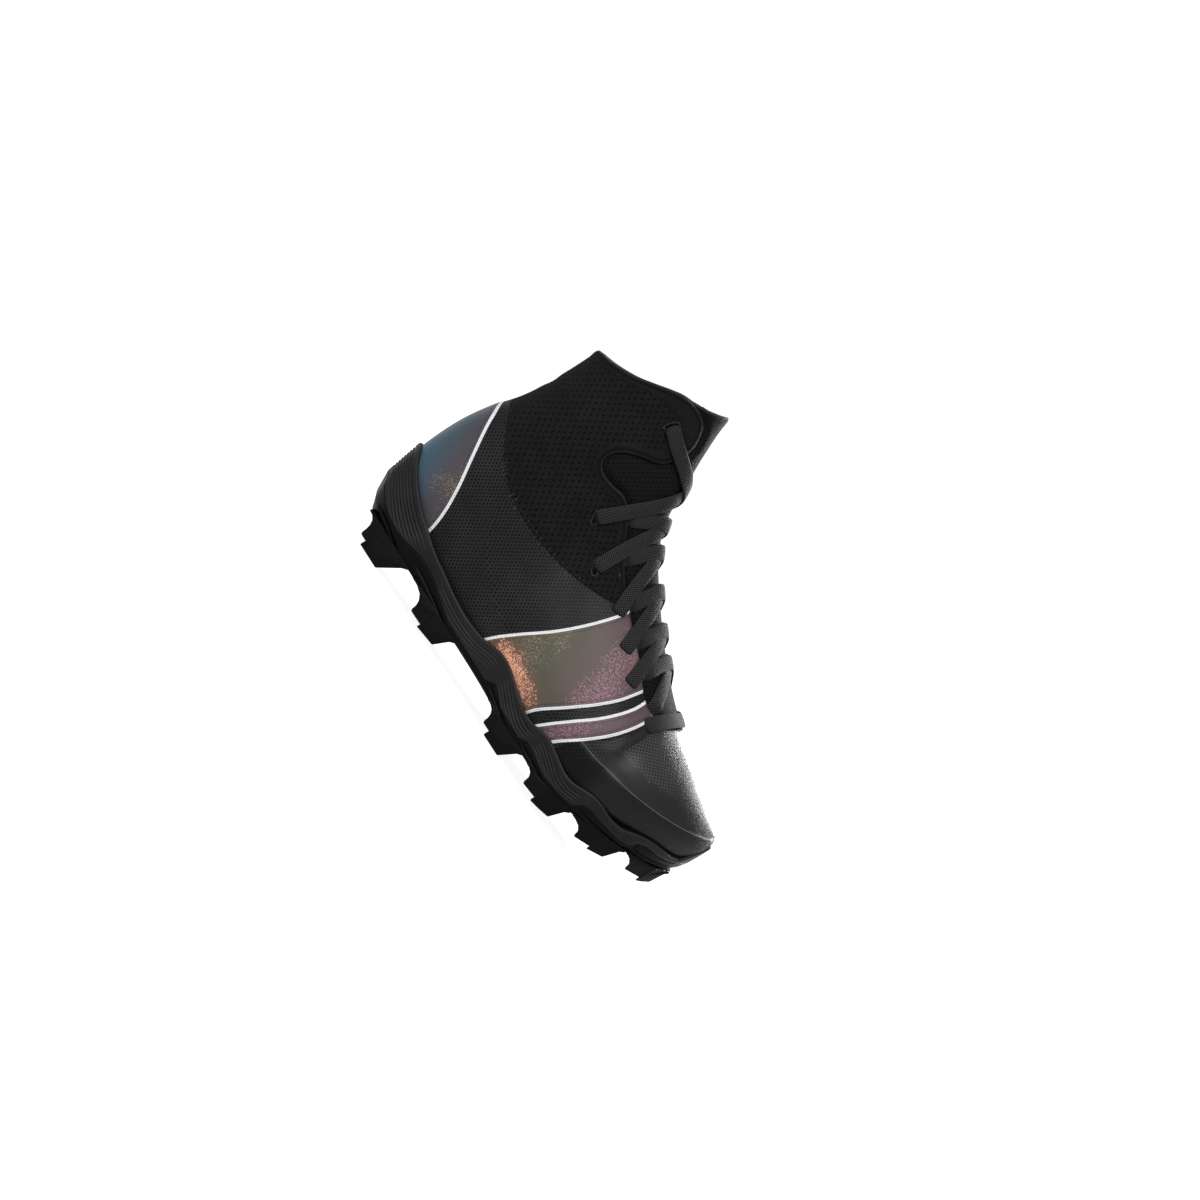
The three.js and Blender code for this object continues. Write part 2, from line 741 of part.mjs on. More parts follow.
// A flat lace lifted off the surface of the last, through spots of [row, angle]. Its
// middle is raised by a height where it lies over another lace.
function laceStrand(spots, from, to, lift, raise) {
  const path = new THREE.SplineCurve(spots);
  const loops = [];
  const centreAt = (share) => {
    const spot = path.getPoint(THREE.MathUtils.clamp(share, 0, 1));
    const nearness = 1 - (2 * Math.abs(share - 0.5)) / crossingSpan;
    return grownPoint(spot.x, spot.y, lift + raise * THREE.MathUtils.smoothstep(nearness, 0, 1));
  };
  for (let step = 0; step <= laceSteps; step += 1) {
    const share = THREE.MathUtils.lerp(from, to, step / laceSteps);
    const spot = path.getPoint(share);
    const normal = surfaceNormal(spot.x, spot.y);
    const centre = centreAt(share);
    const run = centreAt(share + strandRunStep).sub(centreAt(share - strandRunStep));
    const half = run.cross(normal).setLength(laceWidth / 2);
    const above = centre.clone().addScaledVector(normal, laceThickness);
    loops.push([
      above.clone().add(half),
      above.clone().sub(half),
      centre.clone().sub(half),
      centre.clone().add(half),
    ]);
  }
  return skinSolid(loops);
}

const eyeletSpots = eyelets.map((row) => spotInSideView(sidePoint(row)));
const mirrored = (spot) => new THREE.Vector2(spot.x, -spot.y);

// The crossing between one pair of eyelets and the next: two strands joined where they meet
function laceCrossing(index) {
  const low = eyeletSpots[index];
  const high = eyeletSpots[index + 1];
  const middle = new THREE.Vector2(rowOfRidge(crossingPlaces[index]), 0);
  const isFirst = index === 0;
  const isLast = index === crossingPlaces.length - 1;
  const from = isFirst ? strandHidden : 0;
  const to = isLast ? 1 : 1 - strandHidden;
  const lift = laceLift + (isLast ? overlayStep : 0);
  const under = laceStrand([low, middle, mirrored(high)], from, to, lift, 0);
  const over = laceStrand([mirrored(low), middle, high], from, to, lift, crossingRise);
  return under.add(over);
}

function laceBar() {
  const end = eyeletSpots[0];
  const middle = new THREE.Vector2(rowOfRidge(barPlace), 0);
  return laceStrand([end, middle, mirrored(end)], 0, 1, laceLift, 0);
}

// Slits through both sides of the upper for one pair of eyelets
function eyeletSlit(row) {
  const [x, z] = sidePoint(row);
  const slant = THREE.MathUtils.degToRad(row[2]);
  const corners = [
    [-1, 0],
    [-slitShoulder, -1],
    [slitShoulder, -1],
    [1, 0],
    [slitShoulder, 1],
    [-slitShoulder, 1],
  ];
  const turned = corners.map(([reach, rise]) => {
    const along = (reach * slitLength) / 2;
    const up = (rise * slitHeight) / 2;
    return [
      x + Math.cos(slant) * along - Math.sin(slant) * up,
      z + Math.sin(slant) * along + Math.cos(slant) * up,
    ];
  });
  return acrossShoe(turned);
}

// The side-view outline of everything above the collar and in front of the throat
function openingOutline() {
  const edge = [...collarRim, ...keyhole, ...throat].map(sidePoint);
  const [backX, backZ] = edge[0];
  const [frontX, frontZ] = edge.at(-1);
  const above = footBedHeight(0) + upperHeight + 2 * cutMargin;
  return [
    [backX - cutMargin, backZ],
    ...edge,
    [frontX + throatFlare, frontZ + cutMargin],
    [frontX, above],
    [backX - cutMargin, above],
  ];
}

// The side-view outline between two heights above the foot bed
function bandOverFootBed([start, end], low, high) {
  const lower = [];
  const upper = [];
  for (let step = 0; step <= bandSteps; step += 1) {
    const x = THREE.MathUtils.lerp(start, end, step / bandSteps) * length;
    lower.push([x, footBedHeight(x) + low]);
    upper.unshift([x, footBedHeight(x) + high]);
  }
  return [...lower, ...upper];
}

const lastBody = lastSolid(0);
const foot = lastSolid(-wall);
const opening = openingOutline();

function upperSolid() {
  const overlays = lastSolid(overlayStep);
  const sole = midsoleBlock(clearance);
  const zone = acrossShoe(bindingZone.map(sidePoint));
  const binding = acrossShoe(widened(opening, bindingWidth)).intersect(zone);
  const panels = [heelPanel, toeGuard].map((rows) => acrossShoe(rows.map(sidePoint)));
  const raised = panels
    .reduce((joined, panel) => joined.add(panel), binding)
    .intersect(overlays)
    .subtract(sole)
    .subtract(sole.translate([-2 * clearance, 0, 0]));
  const bottom = bandOverFootBed(openBottom, -upperHeight, insoleBoard + clearance);
  const shell = lastBody
    .add(raised)
    .subtract(foot)
    .subtract(acrossShoe(bottom))
    .subtract(acrossShoe(opening));
  return eyelets.reduce((body, row) => body.subtract(eyeletSlit(row)), shell);
}

function tongueSolid() {
  const outer = lastSolid(-wall - clearance);
  const inner = lastSolid(-wall - clearance - tonguePadding);
  const region = acrossShoe(tongueOutline.map(sidePoint));
  const pad = lastBody.intersect(acrossShoe(widened(opening, -tongueEdgeGap)));
  return outer.add(pad).subtract(inner).intersect(region);
}

function midsoleSolid() {
  return midsoleBlock().subtract(lastSolid(clearance));
}

function outsoleSolid() {
  const sides = [-1, 1];
  const studs = studRows.flatMap((row) => sides.map((side) => studSolid(row, side)));
  return studs.reduce((body, stud) => body.add(stud), plateSolid());
}

function insoleSolid() {
  const under = bandOverFootBed(boardSpan, -joinOverlap, insoleBoard);
  const board = lastBody.intersect(acrossShoe(under));
  const cushion = bandOverFootBed(cushionSpan, insoleBoard - joinOverlap, insoleThickness);
  return lastSolid(-wall - clearance).intersect(acrossShoe(cushion)).add(board);
}

const rubber = new THREE.MeshStandardMaterial({ color: 0x1c1c1e, roughness: 0.62, metalness: 0 });
const foam = new THREE.MeshStandardMaterial({ color: 0x202022, roughness: 0.7, metalness: 0 });
const synthetic = new THREE.MeshStandardMaterial({ color: 0x232326, roughness: 0.55, metalness: 0 });
const knit = new THREE.MeshStandardMaterial({ color: 0x1a1a1c, roughness: 0.9, metalness: 0 });
const lining = new THREE.MeshStandardMaterial({ color: 0x161618, roughness: 0.95, metalness: 0 });
const webbing = new THREE.MeshStandardMaterial({ color: 0x262628, roughness: 0.85, metalness: 0 });

// A named mesh from a solid
function piece(name, body, material) {
  const { vertProperties, triVerts } = body.getMesh();
  const geometry = new THREE.BufferGeometry();
  geometry.setAttribute('position', new THREE.BufferAttribute(new Float32Array(vertProperties), 3));
  geometry.setIndex(new THREE.BufferAttribute(new Uint32Array(triVerts), 1));
  geometry.computeVertexNormals();
  const mesh = new THREE.Mesh(geometry, material);
  mesh.name = name;
  return mesh;
}

const shoe = new THREE.Group();
shoe.add(
  piece('outsole', outsoleSolid(), rubber),
  piece('midsole', midsoleSolid(), foam),
  piece('insole', insoleSolid(), lining),
  piece('upper', upperSolid(), synthetic),
  piece('tongue', tongueSolid(), knit),
  piece('lace_bar', laceBar(), webbing),
);
crossingPlaces.forEach((place, index) => {
  shoe.add(piece(`lace_cross_${index + 1}`, laceCrossing(index), webbing));
});

const box = new THREE.Box3().setFromObject(shoe);
shoe.position.set(-(box.min.x + box.max.x) / 2, -(box.min.y + box.max.y) / 2, -box.min.z);

export default shoe;
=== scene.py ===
import math

import bmesh
import bpy
import numpy as np
from bpy.props import FloatProperty, FloatVectorProperty, PointerProperty
from mathutils import Matrix, Vector
from mathutils.bvhtree import BVHTree


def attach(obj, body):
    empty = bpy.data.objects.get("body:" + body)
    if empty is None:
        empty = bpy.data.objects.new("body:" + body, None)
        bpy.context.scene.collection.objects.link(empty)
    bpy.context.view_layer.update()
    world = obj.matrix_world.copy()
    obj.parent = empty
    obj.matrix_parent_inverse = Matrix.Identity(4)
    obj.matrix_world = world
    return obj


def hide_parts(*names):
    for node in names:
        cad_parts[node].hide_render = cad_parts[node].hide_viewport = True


bl_info = {
    "name": "High-top football cleat",
    "version": (1, 0, 0),
    "blender": (4, 5, 0),
    "location": "3D View > Sidebar > Cleat",
    "description": "Dresses the solids of a laced high-top cleat as knit, film, foam and rubber",
    "category": "Object",
}

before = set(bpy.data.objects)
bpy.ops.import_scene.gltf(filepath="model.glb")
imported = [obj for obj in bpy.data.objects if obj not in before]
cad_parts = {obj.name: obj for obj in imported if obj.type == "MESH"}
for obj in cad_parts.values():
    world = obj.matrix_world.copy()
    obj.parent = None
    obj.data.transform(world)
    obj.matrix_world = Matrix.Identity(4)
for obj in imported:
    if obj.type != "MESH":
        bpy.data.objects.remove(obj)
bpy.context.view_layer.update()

# Sizes of the last and the sole, in millimetres from the heel, the middle and the ground
LENGTH = 305.0
BALL_WIDTH = 104.0
UPPER_HEIGHT = 205.0
CUP_HEIGHT = 38.6
TOE_SPRING = 33.0
HEEL_DROP = 3.4
STUD_LENGTH = 12.6
STUD_THICKNESS = 15.0
WING_THICKNESS = 11.0
STUD_TAPER = 2.6
STUD_EDGE = 2.5
PLATE = 4.2
MIDSOLE_FLOOR = 4.2
LIP = 1.4
CLEARANCE = 0.3
STAND_HEIGHT = STUD_LENGTH + PLATE + MIDSOLE_FLOOR
MIDDLE = np.array([LENGTH / 2, -0.624, 0.0])

# Relief of the upper, in millimetres: raised panels and bands, the soft rim, the eyelet slits
FILM_STEP = 0.45
BAND_STEP = 0.55
STEP_SOFTNESS = 0.8
RIM_ROUND = 1.6
SLIT_HALF = 3.0
SLIT_OPEN = 0.7
HIDDEN_BELOW = 3.2
OUT_OF_REACH = 9.0
SOLE_COUNT = 440
LACE_AROUND = 17
LACE_STEPS = 72
INSOLE_SPAN = (0.035, 0.965)

# Tones of the materials, with painted shade and a painted rim highlight among them
HOLLOW = (0.0005, 0.0005, 0.0005)
SHADED = (0.0012, 0.0012, 0.0013)
# Painted highlight: a lighter tone on the rims of the openings, where their folds catch the light
PAINTED_RIM_HIGHLIGHT = (0.026, 0.026, 0.027)
THREAD = (0.07, 0.07, 0.075)
GUARD_TONE = (0.001, 0.001, 0.0011)
PALE_EDGE = (0.13, 0.13, 0.135)
# [place along the film, tone]
FILM_HUES = [
    (0.0, (0.028, 0.06, 0.085)), (0.12, (0.026, 0.056, 0.078)), (0.2, (0.04, 0.036, 0.042)),
    (0.34, (0.045, 0.033, 0.033)), (0.5, (0.045, 0.04, 0.03)), (0.62, (0.042, 0.04, 0.03)),
    (0.7, (0.05, 0.036, 0.036)), (0.85, (0.05, 0.034, 0.042)),
]
# [name, place, target, size, power]
LIGHTS = [
    ["key", (-0.1, -1.5, 1.5), (0, 0, 0.1), (0.8, 0.8), 36],
    ["side_strip", (-0.3, -1.9, 0.85), (0, 0, 0.06), (1.0, 0.18), 13],
    ["toe_top", (0.7, 1.65, 1.1), (0.1, 0, 0.08), (0.9, 0.7), 210],
    ["heel_side", (-1.6, -1.1, 0.9), (-0.1, 0, 0.08), (0.5, 1.0), 14],
]

# [place / LENGTH, rise / HEEL_DROP, rise / TOE_SPRING]
FOOT_BED = [
    [0.0, 1.0, 0], [0.105, 1.0, 0], [0.203, 0.97, 0], [0.328, 0.74, 0], [0.452, 0.59, 0],
    [0.564, 0.15, 0], [0.656, 0.0, 0], [0.702, 0, 0.024], [0.738, 0, 0.067], [0.77, 0, 0.133],
    [0.807, 0, 0.224], [0.872, 0, 0.455], [0.921, 0, 0.606], [0.954, 0, 0.712],
    [0.975, 0, 0.803], [1.0, 0, 1.0],
]
# [top place, top height, bottom place, bottom height, ridge, outer, inner, widest, powers]
SECTIONS = [
    [0.995, 0.076, 0.995, 0.057, 0.091, 0.034, 0.034, 0.5, 2.0, 2.0, 2.0],
    [0.991, 0.116, 0.99, 0.027, 0.088, 0.091, 0.087, 0.53, 2.0, 2.0, 2.1],
    [0.98, 0.155, 0.979, 0.007, 0.085, 0.154, 0.149, 0.57, 2.1, 2.1, 2.4],
    [0.961, 0.189, 0.956, 0.002, 0.08, 0.24, 0.226, 0.61, 2.1, 2.2, 2.8],
    [0.931, 0.221, 0.921, 0.0, 0.072, 0.337, 0.308, 0.65, 2.1, 2.2, 3.2],
    [0.885, 0.262, 0.872, 0.0, 0.061, 0.428, 0.375, 0.69, 2.0, 2.2, 3.8],
    [0.82, 0.321, 0.807, 0.0, 0.05, 0.495, 0.413, 0.73, 1.9, 2.2, 4.4],
    [0.751, 0.374, 0.738, 0.0, 0.04, 0.519, 0.416, 0.76, 1.8, 2.15, 4.8],
    [0.679, 0.425, 0.656, 0.0, 0.031, 0.51, 0.394, 0.78, 1.75, 2.1, 5.0],
    [0.603, 0.477, 0.564, 0.0, 0.021, 0.469, 0.349, 0.79, 1.75, 2.0, 4.8],
    [0.531, 0.53, 0.452, 0.0, 0.012, 0.415, 0.317, 0.79, 1.75, 1.95, 4.6],
    [0.47, 0.58, 0.328, 0.0, 0.005, 0.373, 0.317, 0.77, 1.8, 1.9, 4.4],
    [0.43, 0.627, 0.203, 0.0, 0.0, 0.349, 0.327, 0.71, 1.85, 1.95, 4.0],
    [0.404, 0.672, 0.105, 0.01, 0.0, 0.339, 0.33, 0.63, 1.95, 2.0, 3.3],
    [0.388, 0.713, 0.043, 0.047, 0.0, 0.339, 0.332, 0.56, 2.0, 2.0, 2.8],
    [0.375, 0.75, 0.016, 0.11, 0.0, 0.344, 0.337, 0.52, 2.0, 2.0, 2.5],
    [0.363, 0.784, 0.009, 0.188, 0.0, 0.349, 0.344, 0.5, 2.0, 2.0, 2.35],
    [0.353, 0.818, 0.007, 0.271, 0.0, 0.352, 0.349, 0.5, 2.0, 2.0, 2.25],
    [0.342, 0.852, 0.01, 0.349, 0.0, 0.354, 0.352, 0.5, 2.0, 2.0, 2.2],
    [0.332, 0.885, 0.02, 0.432, 0.0, 0.352, 0.352, 0.5, 2.05, 2.05, 2.15],
    [0.322, 0.919, 0.035, 0.515, 0.0, 0.349, 0.349, 0.5, 2.1, 2.1, 2.1],
    [0.313, 0.953, 0.043, 0.603, 0.0, 0.346, 0.346, 0.5, 2.1, 2.1, 2.1],
    [0.305, 0.99, 0.045, 0.7, 0.0, 0.346, 0.346, 0.5, 2.1, 2.1, 2.1],
    [0.296, 1.031, 0.045, 0.808, 0.0, 0.348, 0.348, 0.5, 2.1, 2.1, 2.1],
    [0.282, 1.094, 0.047, 0.915, 0.0, 0.351, 0.351, 0.5, 2.1, 2.1, 2.1],
]
# [place / LENGTH, outer half / BALL_WIDTH, inner half / BALL_WIDTH]
SOLE_PLAN = [
    [0.0, 0.0, 0.0], [0.005, 0.101, 0.101], [0.016, 0.178, 0.178], [0.039, 0.25, 0.25],
    [0.082, 0.317, 0.317], [0.148, 0.361, 0.356], [0.23, 0.373, 0.356], [0.328, 0.385, 0.341],
    [0.426, 0.413, 0.346], [0.525, 0.462, 0.375], [0.623, 0.498, 0.431], [0.705, 0.512, 0.481],
    [0.787, 0.486, 0.5], [0.859, 0.413, 0.486], [0.918, 0.308, 0.433], [0.957, 0.202, 0.356],
    [0.984, 0.087, 0.26], [0.995, 0.0, 0.173], [1.0, -0.087, 0.087],
]
# [place / LENGTH, height above the foot bed / CUP_HEIGHT]
CUP_RIM = [
    [0.0, 1.0], [0.012, 0.951], [0.037, 0.798], [0.069, 0.655], [0.095, 0.56], [0.13, 0.459],
    [0.166, 0.38], [0.201, 0.306], [0.254, 0.247], [0.295, 0.202], [0.35, 0.181],
    [0.391, 0.214], [0.414, 0.268], [0.439, 0.338], [0.468, 0.35], [0.496, 0.311],
    [0.532, 0.24], [0.568, 0.195], [0.591, 0.209], [0.613, 0.269], [0.636, 0.298],
    [0.662, 0.272], [0.689, 0.224], [0.711, 0.187], [0.734, 0.192], [0.759, 0.238],
    [0.782, 0.258], [0.807, 0.218], [0.827, 0.148], [0.849, 0.098], [0.866, 0.087],
    [0.883, 0.13], [0.902, 0.174], [0.921, 0.189], [0.948, 0.174], [0.974, 0.141],
    [0.986, 0.16], [0.993, 0.33], [1.0, 0.52],
]
PLATE_EDGE = [
    [0.0, 0.337], [0.012, 0.321], [0.024, 0.223], [0.042, 0.14], [0.06, 0.067],
    [0.081, 0.013], [0.118, -0.018], [0.157, 0.014], [0.19, 0.075], [0.22, 0.08],
    [0.243, 0.064], [0.279, -0.011], [0.315, -0.085], [0.348, -0.143], [0.459, -0.143],
    [0.472, -0.066], [0.485, 0.001], [0.508, -0.051], [0.534, -0.119], [0.551, -0.144],
    [0.59, -0.141], [0.603, -0.08], [0.616, -0.031], [0.649, -0.055], [0.685, -0.109],
    [0.708, -0.144], [0.764, -0.144], [0.777, -0.004], [0.793, 0.039], [0.823, -0.008],
    [0.859, -0.083], [0.882, -0.124], [0.895, -0.099], [0.908, 0.029], [0.951, 0.035],
    [0.984, 0.034], [1.0, 0.041],
]
# [place / LENGTH, lean / CUP_HEIGHT, undercut / CUP_HEIGHT]
SOLE_SIDE = [
    [0.0, 0.08, 0.37], [0.08, 0.05, 0.16], [0.16, 0.03, 0.09], [0.24, 0.03, 0.08],
    [0.92, 0.03, 0.08], [1.0, 0.02, 0.08],
]
UNDERCUT_KNEE = (0.6, 0.45)
# [rear / LENGTH, front / LENGTH, wing start, wing end, tip end,
#  wing height, height of the tip's rear, height of its front]
STUD_ROWS = [
    [0.065, 0.198, 0.175, 0.31, 0.73, 0.31, 0.0, 0.0],
    [0.224, 0.369, 0.317, 0.552, 0.878, 0.31, 0.12, 0.25],
    [0.505, 0.627, 0.23, 0.41, 0.813, 0.31, 0.0, 0.0],
    [0.653, 0.773, 0.19, 0.5, 0.893, 0.31, 0.06, 0.12],
    [0.788, 0.9, 0.274, 0.6, 0.886, 0.2, 0.0, 0.1],
    [0.908, 0.989, 0.285, 0.7, 0.951, 0.25, 0.0, 0.15],
]
# Edges in the side view: [place / LENGTH, height above the foot bed / UPPER_HEIGHT]
OPENING_EDGE = [
    [0.046, 0.781], [0.085, 0.798], [0.127, 0.827], [0.154, 0.854], [0.189, 0.892],
    [0.211, 0.913], [0.242, 0.929], [0.267, 0.93], [0.287, 0.92], [0.303, 0.893],
    [0.315, 0.856], [0.317, 0.827], [0.313, 0.79], [0.305, 0.756], [0.267, 0.713],
    [0.242, 0.675], [0.233, 0.641], [0.236, 0.618], [0.25, 0.601], [0.267, 0.598],
    [0.292, 0.604], [0.32, 0.612], [0.358, 0.584], [0.404, 0.529], [0.459, 0.477],
    [0.52, 0.441], [0.612, 0.391], [0.669, 0.35], [0.708, 0.334], [0.744, 0.336],
    [0.762, 0.357],
]
TONGUE_OUTLINE = [
    [0.164, 0.808], [0.18, 0.876], [0.22, 0.914], [0.259, 0.945], [0.289, 0.975],
    [0.303, 0.993], [0.36, 0.98], [0.5, 0.8], [0.82, 0.5], [0.78, 0.301], [0.741, 0.276],
    [0.672, 0.286], [0.59, 0.325], [0.508, 0.36], [0.443, 0.395], [0.387, 0.482],
    [0.311, 0.539], [0.216, 0.545], [0.19, 0.613], [0.184, 0.735],
]
# [place / LENGTH, height above the foot bed / UPPER_HEIGHT, slant in degrees]
EYELETS = [
    [0.719, 0.297, -20], [0.632, 0.33, -22], [0.571, 0.37, -24], [0.502, 0.408, -26],
    [0.403, 0.426, -40], [0.321, 0.509, -60], [0.254, 0.841, 70],
]
BAR_PLACE = 0.751
CROSSING_PLACES = [0.643, 0.584, 0.515, 0.449, 0.41, 0.372]

# Outlines of the film panels and lines of the upper in the side view, in millimetres
HEEL_FILM = [
    [-12, 56], [-12, 133], [1, 127], [8, 117], [17, 101], [27, 85], [37, 69], [45, 53],
    [49, 40], [50, 26], [30, 30], [-12, 50],
]
SADDLE_FILM = [
    [157, 128], [156, 111], [151, 93], [142, 71], [130, 49], [123, 34], [119, 16], [168, 16],
    [174, 34], [184, 52], [193, 69], [199, 85], [200, 108],
]
SLIM_FILM = [
    [208, 104], [207, 84], [201, 66], [192, 49], [184, 33], [178, 16], [190, 16], [196, 33],
    [205, 49], [213, 66], [217, 82], [217, 98],
]
COLLAR_SEAM = [
    [-10, 128], [8, 124], [26, 110], [44, 98], [66, 92], [92, 92], [116, 96], [134, 102],
    [150, 110], [170, 128],
]
GUARD_EDGE = [
    [206, 47.5], [218, 48.8], [229, 51.1], [241.6, 53.6], [258.3, 58.1], [275, 63.9],
    [286, 68.5], [296, 74], [306, 80],
]
CAP_STITCH = [[219, 62.6], [231, 64.4], [241.6, 66.1], [254.1, 68.6], [264.1, 72.3]]
VAMP_SEAMS = [
    [[224.7, 62], [224.7, 72], [225.2, 81], [227, 95]],
    [[211, 94], [208.5, 88.8], [201, 75.6], [196, 66], [190, 54]],
]
CREASES = [
    [[[96, 141], [84, 134], [66, 131], [44, 134]], 0.55, 3.4],
    [[[12, 151], [30, 147], [52, 148]], 0.4, 4.0],
    [[[112, 131], [100, 122], [84, 117]], 0.45, 3.0],
    [[[16, 112], [30, 118], [52, 121]], 0.35, 3.6],
    [[[226, 86], [219, 74], [214, 60]], 0.35, 3.0],
]
# Moulded lines on the side of the sole, cut in and darkened as painted shade: [points, depth,
# width]
SOLE_LINES = [
    [[[18, 22.4], [36, 19.4], [55, 14.8]], 0.7, 0.8],
    [[[62.3, 21.8], [66, 21.6], [80, 19.8], [103, 15.8]], 0.7, 0.8],
    [[[62.3, 21.8], [62.8, 18.5], [69.6, 15.5]], 0.6, 0.8],
    [[[147.7, 22.3], [148.5, 19.2], [156, 17.4], [178, 12.6]], 0.6, 0.8],
    [[[187.2, 19.6], [188.3, 16.9], [200, 15.6], [226, 13.4]], 0.6, 0.8],
    [[[238, 27.2], [239, 23.8], [252, 25.4], [270, 29.6]], 0.6, 0.8],
    [[[276.5, 40.4], [278, 36.8], [290, 40.2], [300, 45.6]], 0.6, 0.8],
]


def curve_through(rows):
    """The smooth curve through the rows of a table, whose first column is the position."""
    rows = np.array(rows, float)
    at, values = rows[:, 0], rows[:, 1:]

    def evaluate(position):
        position = np.clip(np.asarray(position, float), at[0], at[-1])
        right = np.clip(np.searchsorted(at, position, side="right"), 1, len(at) - 1)
        left = right - 1
        before = np.where(left > 0, left - 1, right)
        after = np.where(right < len(at) - 1, right + 1, left)
        half = (at[right] - at[left]) / 2
        lead = half / (at[left] - at[before])
        trail = half / (at[after] - at[right])
        p = (position - at[left]) / (at[right] - at[left])
        pp, ppp = p * p, p * p * p
        weights = (
            (before, -lead * ppp + 2 * lead * pp - lead * p),
            (left, (1 + lead) * ppp - (1.5 + 2 * lead) * pp + (lead - 0.5) * p + 1),
            (right, (-1 - trail) * ppp + (1.5 + trail) * pp + 0.5 * p),
            (after, trail * ppp - trail * pp),
        )
        return sum(values[index] * weight[..., None] for index, weight in weights)

    return evaluate


foot_bed_curve = curve_through(FOOT_BED)
section_curve = curve_through([[n, *row] for n, row in enumerate(SECTIONS)])
cup_rim_curve = curve_through(CUP_RIM)
plate_edge_curve = curve_through(PLATE_EDGE)
sole_side_curve = curve_through(SOLE_SIDE)
plan_curve = curve_through(SOLE_PLAN)
LAST_ROW = len(SECTIONS) - 1


def smooth(low, high, value):
    share = np.clip((np.asarray(value, float) - low) / (high - low), 0, 1)
    return share * share * (3 - 2 * share)


def tread(x):
    return np.maximum(foot_bed_curve(np.asarray(x) / LENGTH)[..., 1], 0) * TOE_SPRING


def foot_bed(x):
    rise = foot_bed_curve(np.asarray(x) / LENGTH)[..., 0] * HEEL_DROP
    return STAND_HEIGHT + rise + tread(x)


def underside(x):
    return foot_bed(x) - MIDSOLE_FLOOR - PLATE


def rim(x):
    return foot_bed(x) + cup_rim_curve(np.asarray(x) / LENGTH)[..., 0] * CUP_HEIGHT


def plate_edge(x):
    climbing = foot_bed(x) + plate_edge_curve(np.asarray(x) / LENGTH)[..., 0] * CUP_HEIGHT
    return np.maximum(climbing, underside(x) + PLATE)


def side_view(rows):
    """Points of the side view in millimetres, from shares of the length and the height."""
    rows = np.array(rows, float)
    x = rows[..., 0] * LENGTH
    return np.stack([x, foot_bed(x) + rows[..., 1] * UPPER_HEIGHT], -1)


def surface(row, angle):
    """Points of the last's skin. The angle is 0 on the ridge and above 0 on the outer side."""
    row, angle = np.broadcast_arrays(np.asarray(row, float), np.asarray(angle, float))
    shares = section_curve(np.clip(row, 0, LAST_ROW))
    top = side_view(shares[..., 0:2])
    low = side_view(shares[..., 2:4])
    ridge, outer, inner = (shares[..., k] * BALL_WIDTH for k in (4, 5, 6))
    turn = np.abs(angle)
    above = turn <= math.pi / 2
    power = np.where(angle >= 0, shares[..., 8], shares[..., 9])
    power = np.where(above, power, shares[..., 10])
    across = np.where(angle >= 0, -outer, inner) * np.abs(np.sin(turn)) ** (2 / power)
    down = np.abs(np.cos(turn)) ** (2 / power)
    widest = shares[..., 7]
    depth = np.where(above, widest * (1 - down), widest + (1 - widest) * down)
    x = top[..., 0] + (low[..., 0] - top[..., 0]) * depth
    z = top[..., 1] + (low[..., 1] - top[..., 1]) * depth
    return np.stack([x, ridge + across, z], -1)


def side_spots(row, angle):
    """Where points of the skin are seen from the side."""
    return surface(row, angle)[..., [0, 2]].reshape(-1, 2)


def skin_normal(row, angle):
    def turned(step):
        moved = angle + step
        moved = np.where(moved > math.pi, moved - 2 * math.pi, moved)
        return np.where(moved < -math.pi, moved + 2 * math.pi, moved)

    along = surface(row + 0.12, angle) - surface(row - 0.12, angle)
    around = surface(row, turned(0.06)) - surface(row, turned(-0.06))
    normal = np.cross(along, around)
    return normal / np.maximum(np.linalg.norm(normal, axis=-1, keepdims=True), 1e-9)


def grown(row, angle, grow):
    row, angle = np.asarray(row, float), np.asarray(angle, float)
    return surface(row, angle) + skin_normal(row, angle) * np.asarray(grow, float)[..., None]


def even_grid(row_count, column_count):
    """Rows and angles of an even grid over the last, and its skin laid flat in the side view."""
    dense = np.linspace(0, LAST_ROW, 481)
    lines = [surface(dense, angle) for angle in (math.pi / 2, math.pi)]
    steps = sum(np.linalg.norm(np.diff(line, axis=0), axis=1) for line in lines)
    run = np.concatenate([[0], np.cumsum(steps)])
    rows = np.interp(np.linspace(0, run[-1], row_count), run, dense)
    shares = section_curve(rows)
    top, low = side_view(shares[:, 0:2]), side_view(shares[:, 2:4])
    middle = top + (low - top) * shares[:, 7:8]
    chord = (low - top) / np.linalg.norm(low - top, axis=1, keepdims=True)
    turns = np.linspace(0, math.pi, 181)
    across = np.linspace(1, -1, column_count)
    angles = np.empty((row_count, column_count))
    flat = np.empty((row_count, column_count, 2))
    for side, use in ((1, across >= 0), (-1, across < 0)):
        ring = surface(rows[:, None], side * turns[None, :])
        arcs = np.cumsum(np.linalg.norm(np.diff(ring, axis=1), axis=2), axis=1)
        arcs = np.concatenate([np.zeros((row_count, 1)), arcs], axis=1)
        for n in range(row_count):
            wanted = np.abs(across[use]) * arcs[n, -1]
            angles[n, use] = side * np.interp(wanted, arcs[n], turns)
            from_side = wanted - np.interp(math.pi / 2, turns, arcs[n])
            flat[n, use] = middle[n] + chord[n] * from_side[:, None]
    return np.repeat(rows[:, None], column_count, 1), angles, flat


def run_of(points):
    """Length of a path up to each of its points."""
    return np.concatenate([[0], np.cumsum(np.linalg.norm(np.diff(points, axis=0), axis=1))])


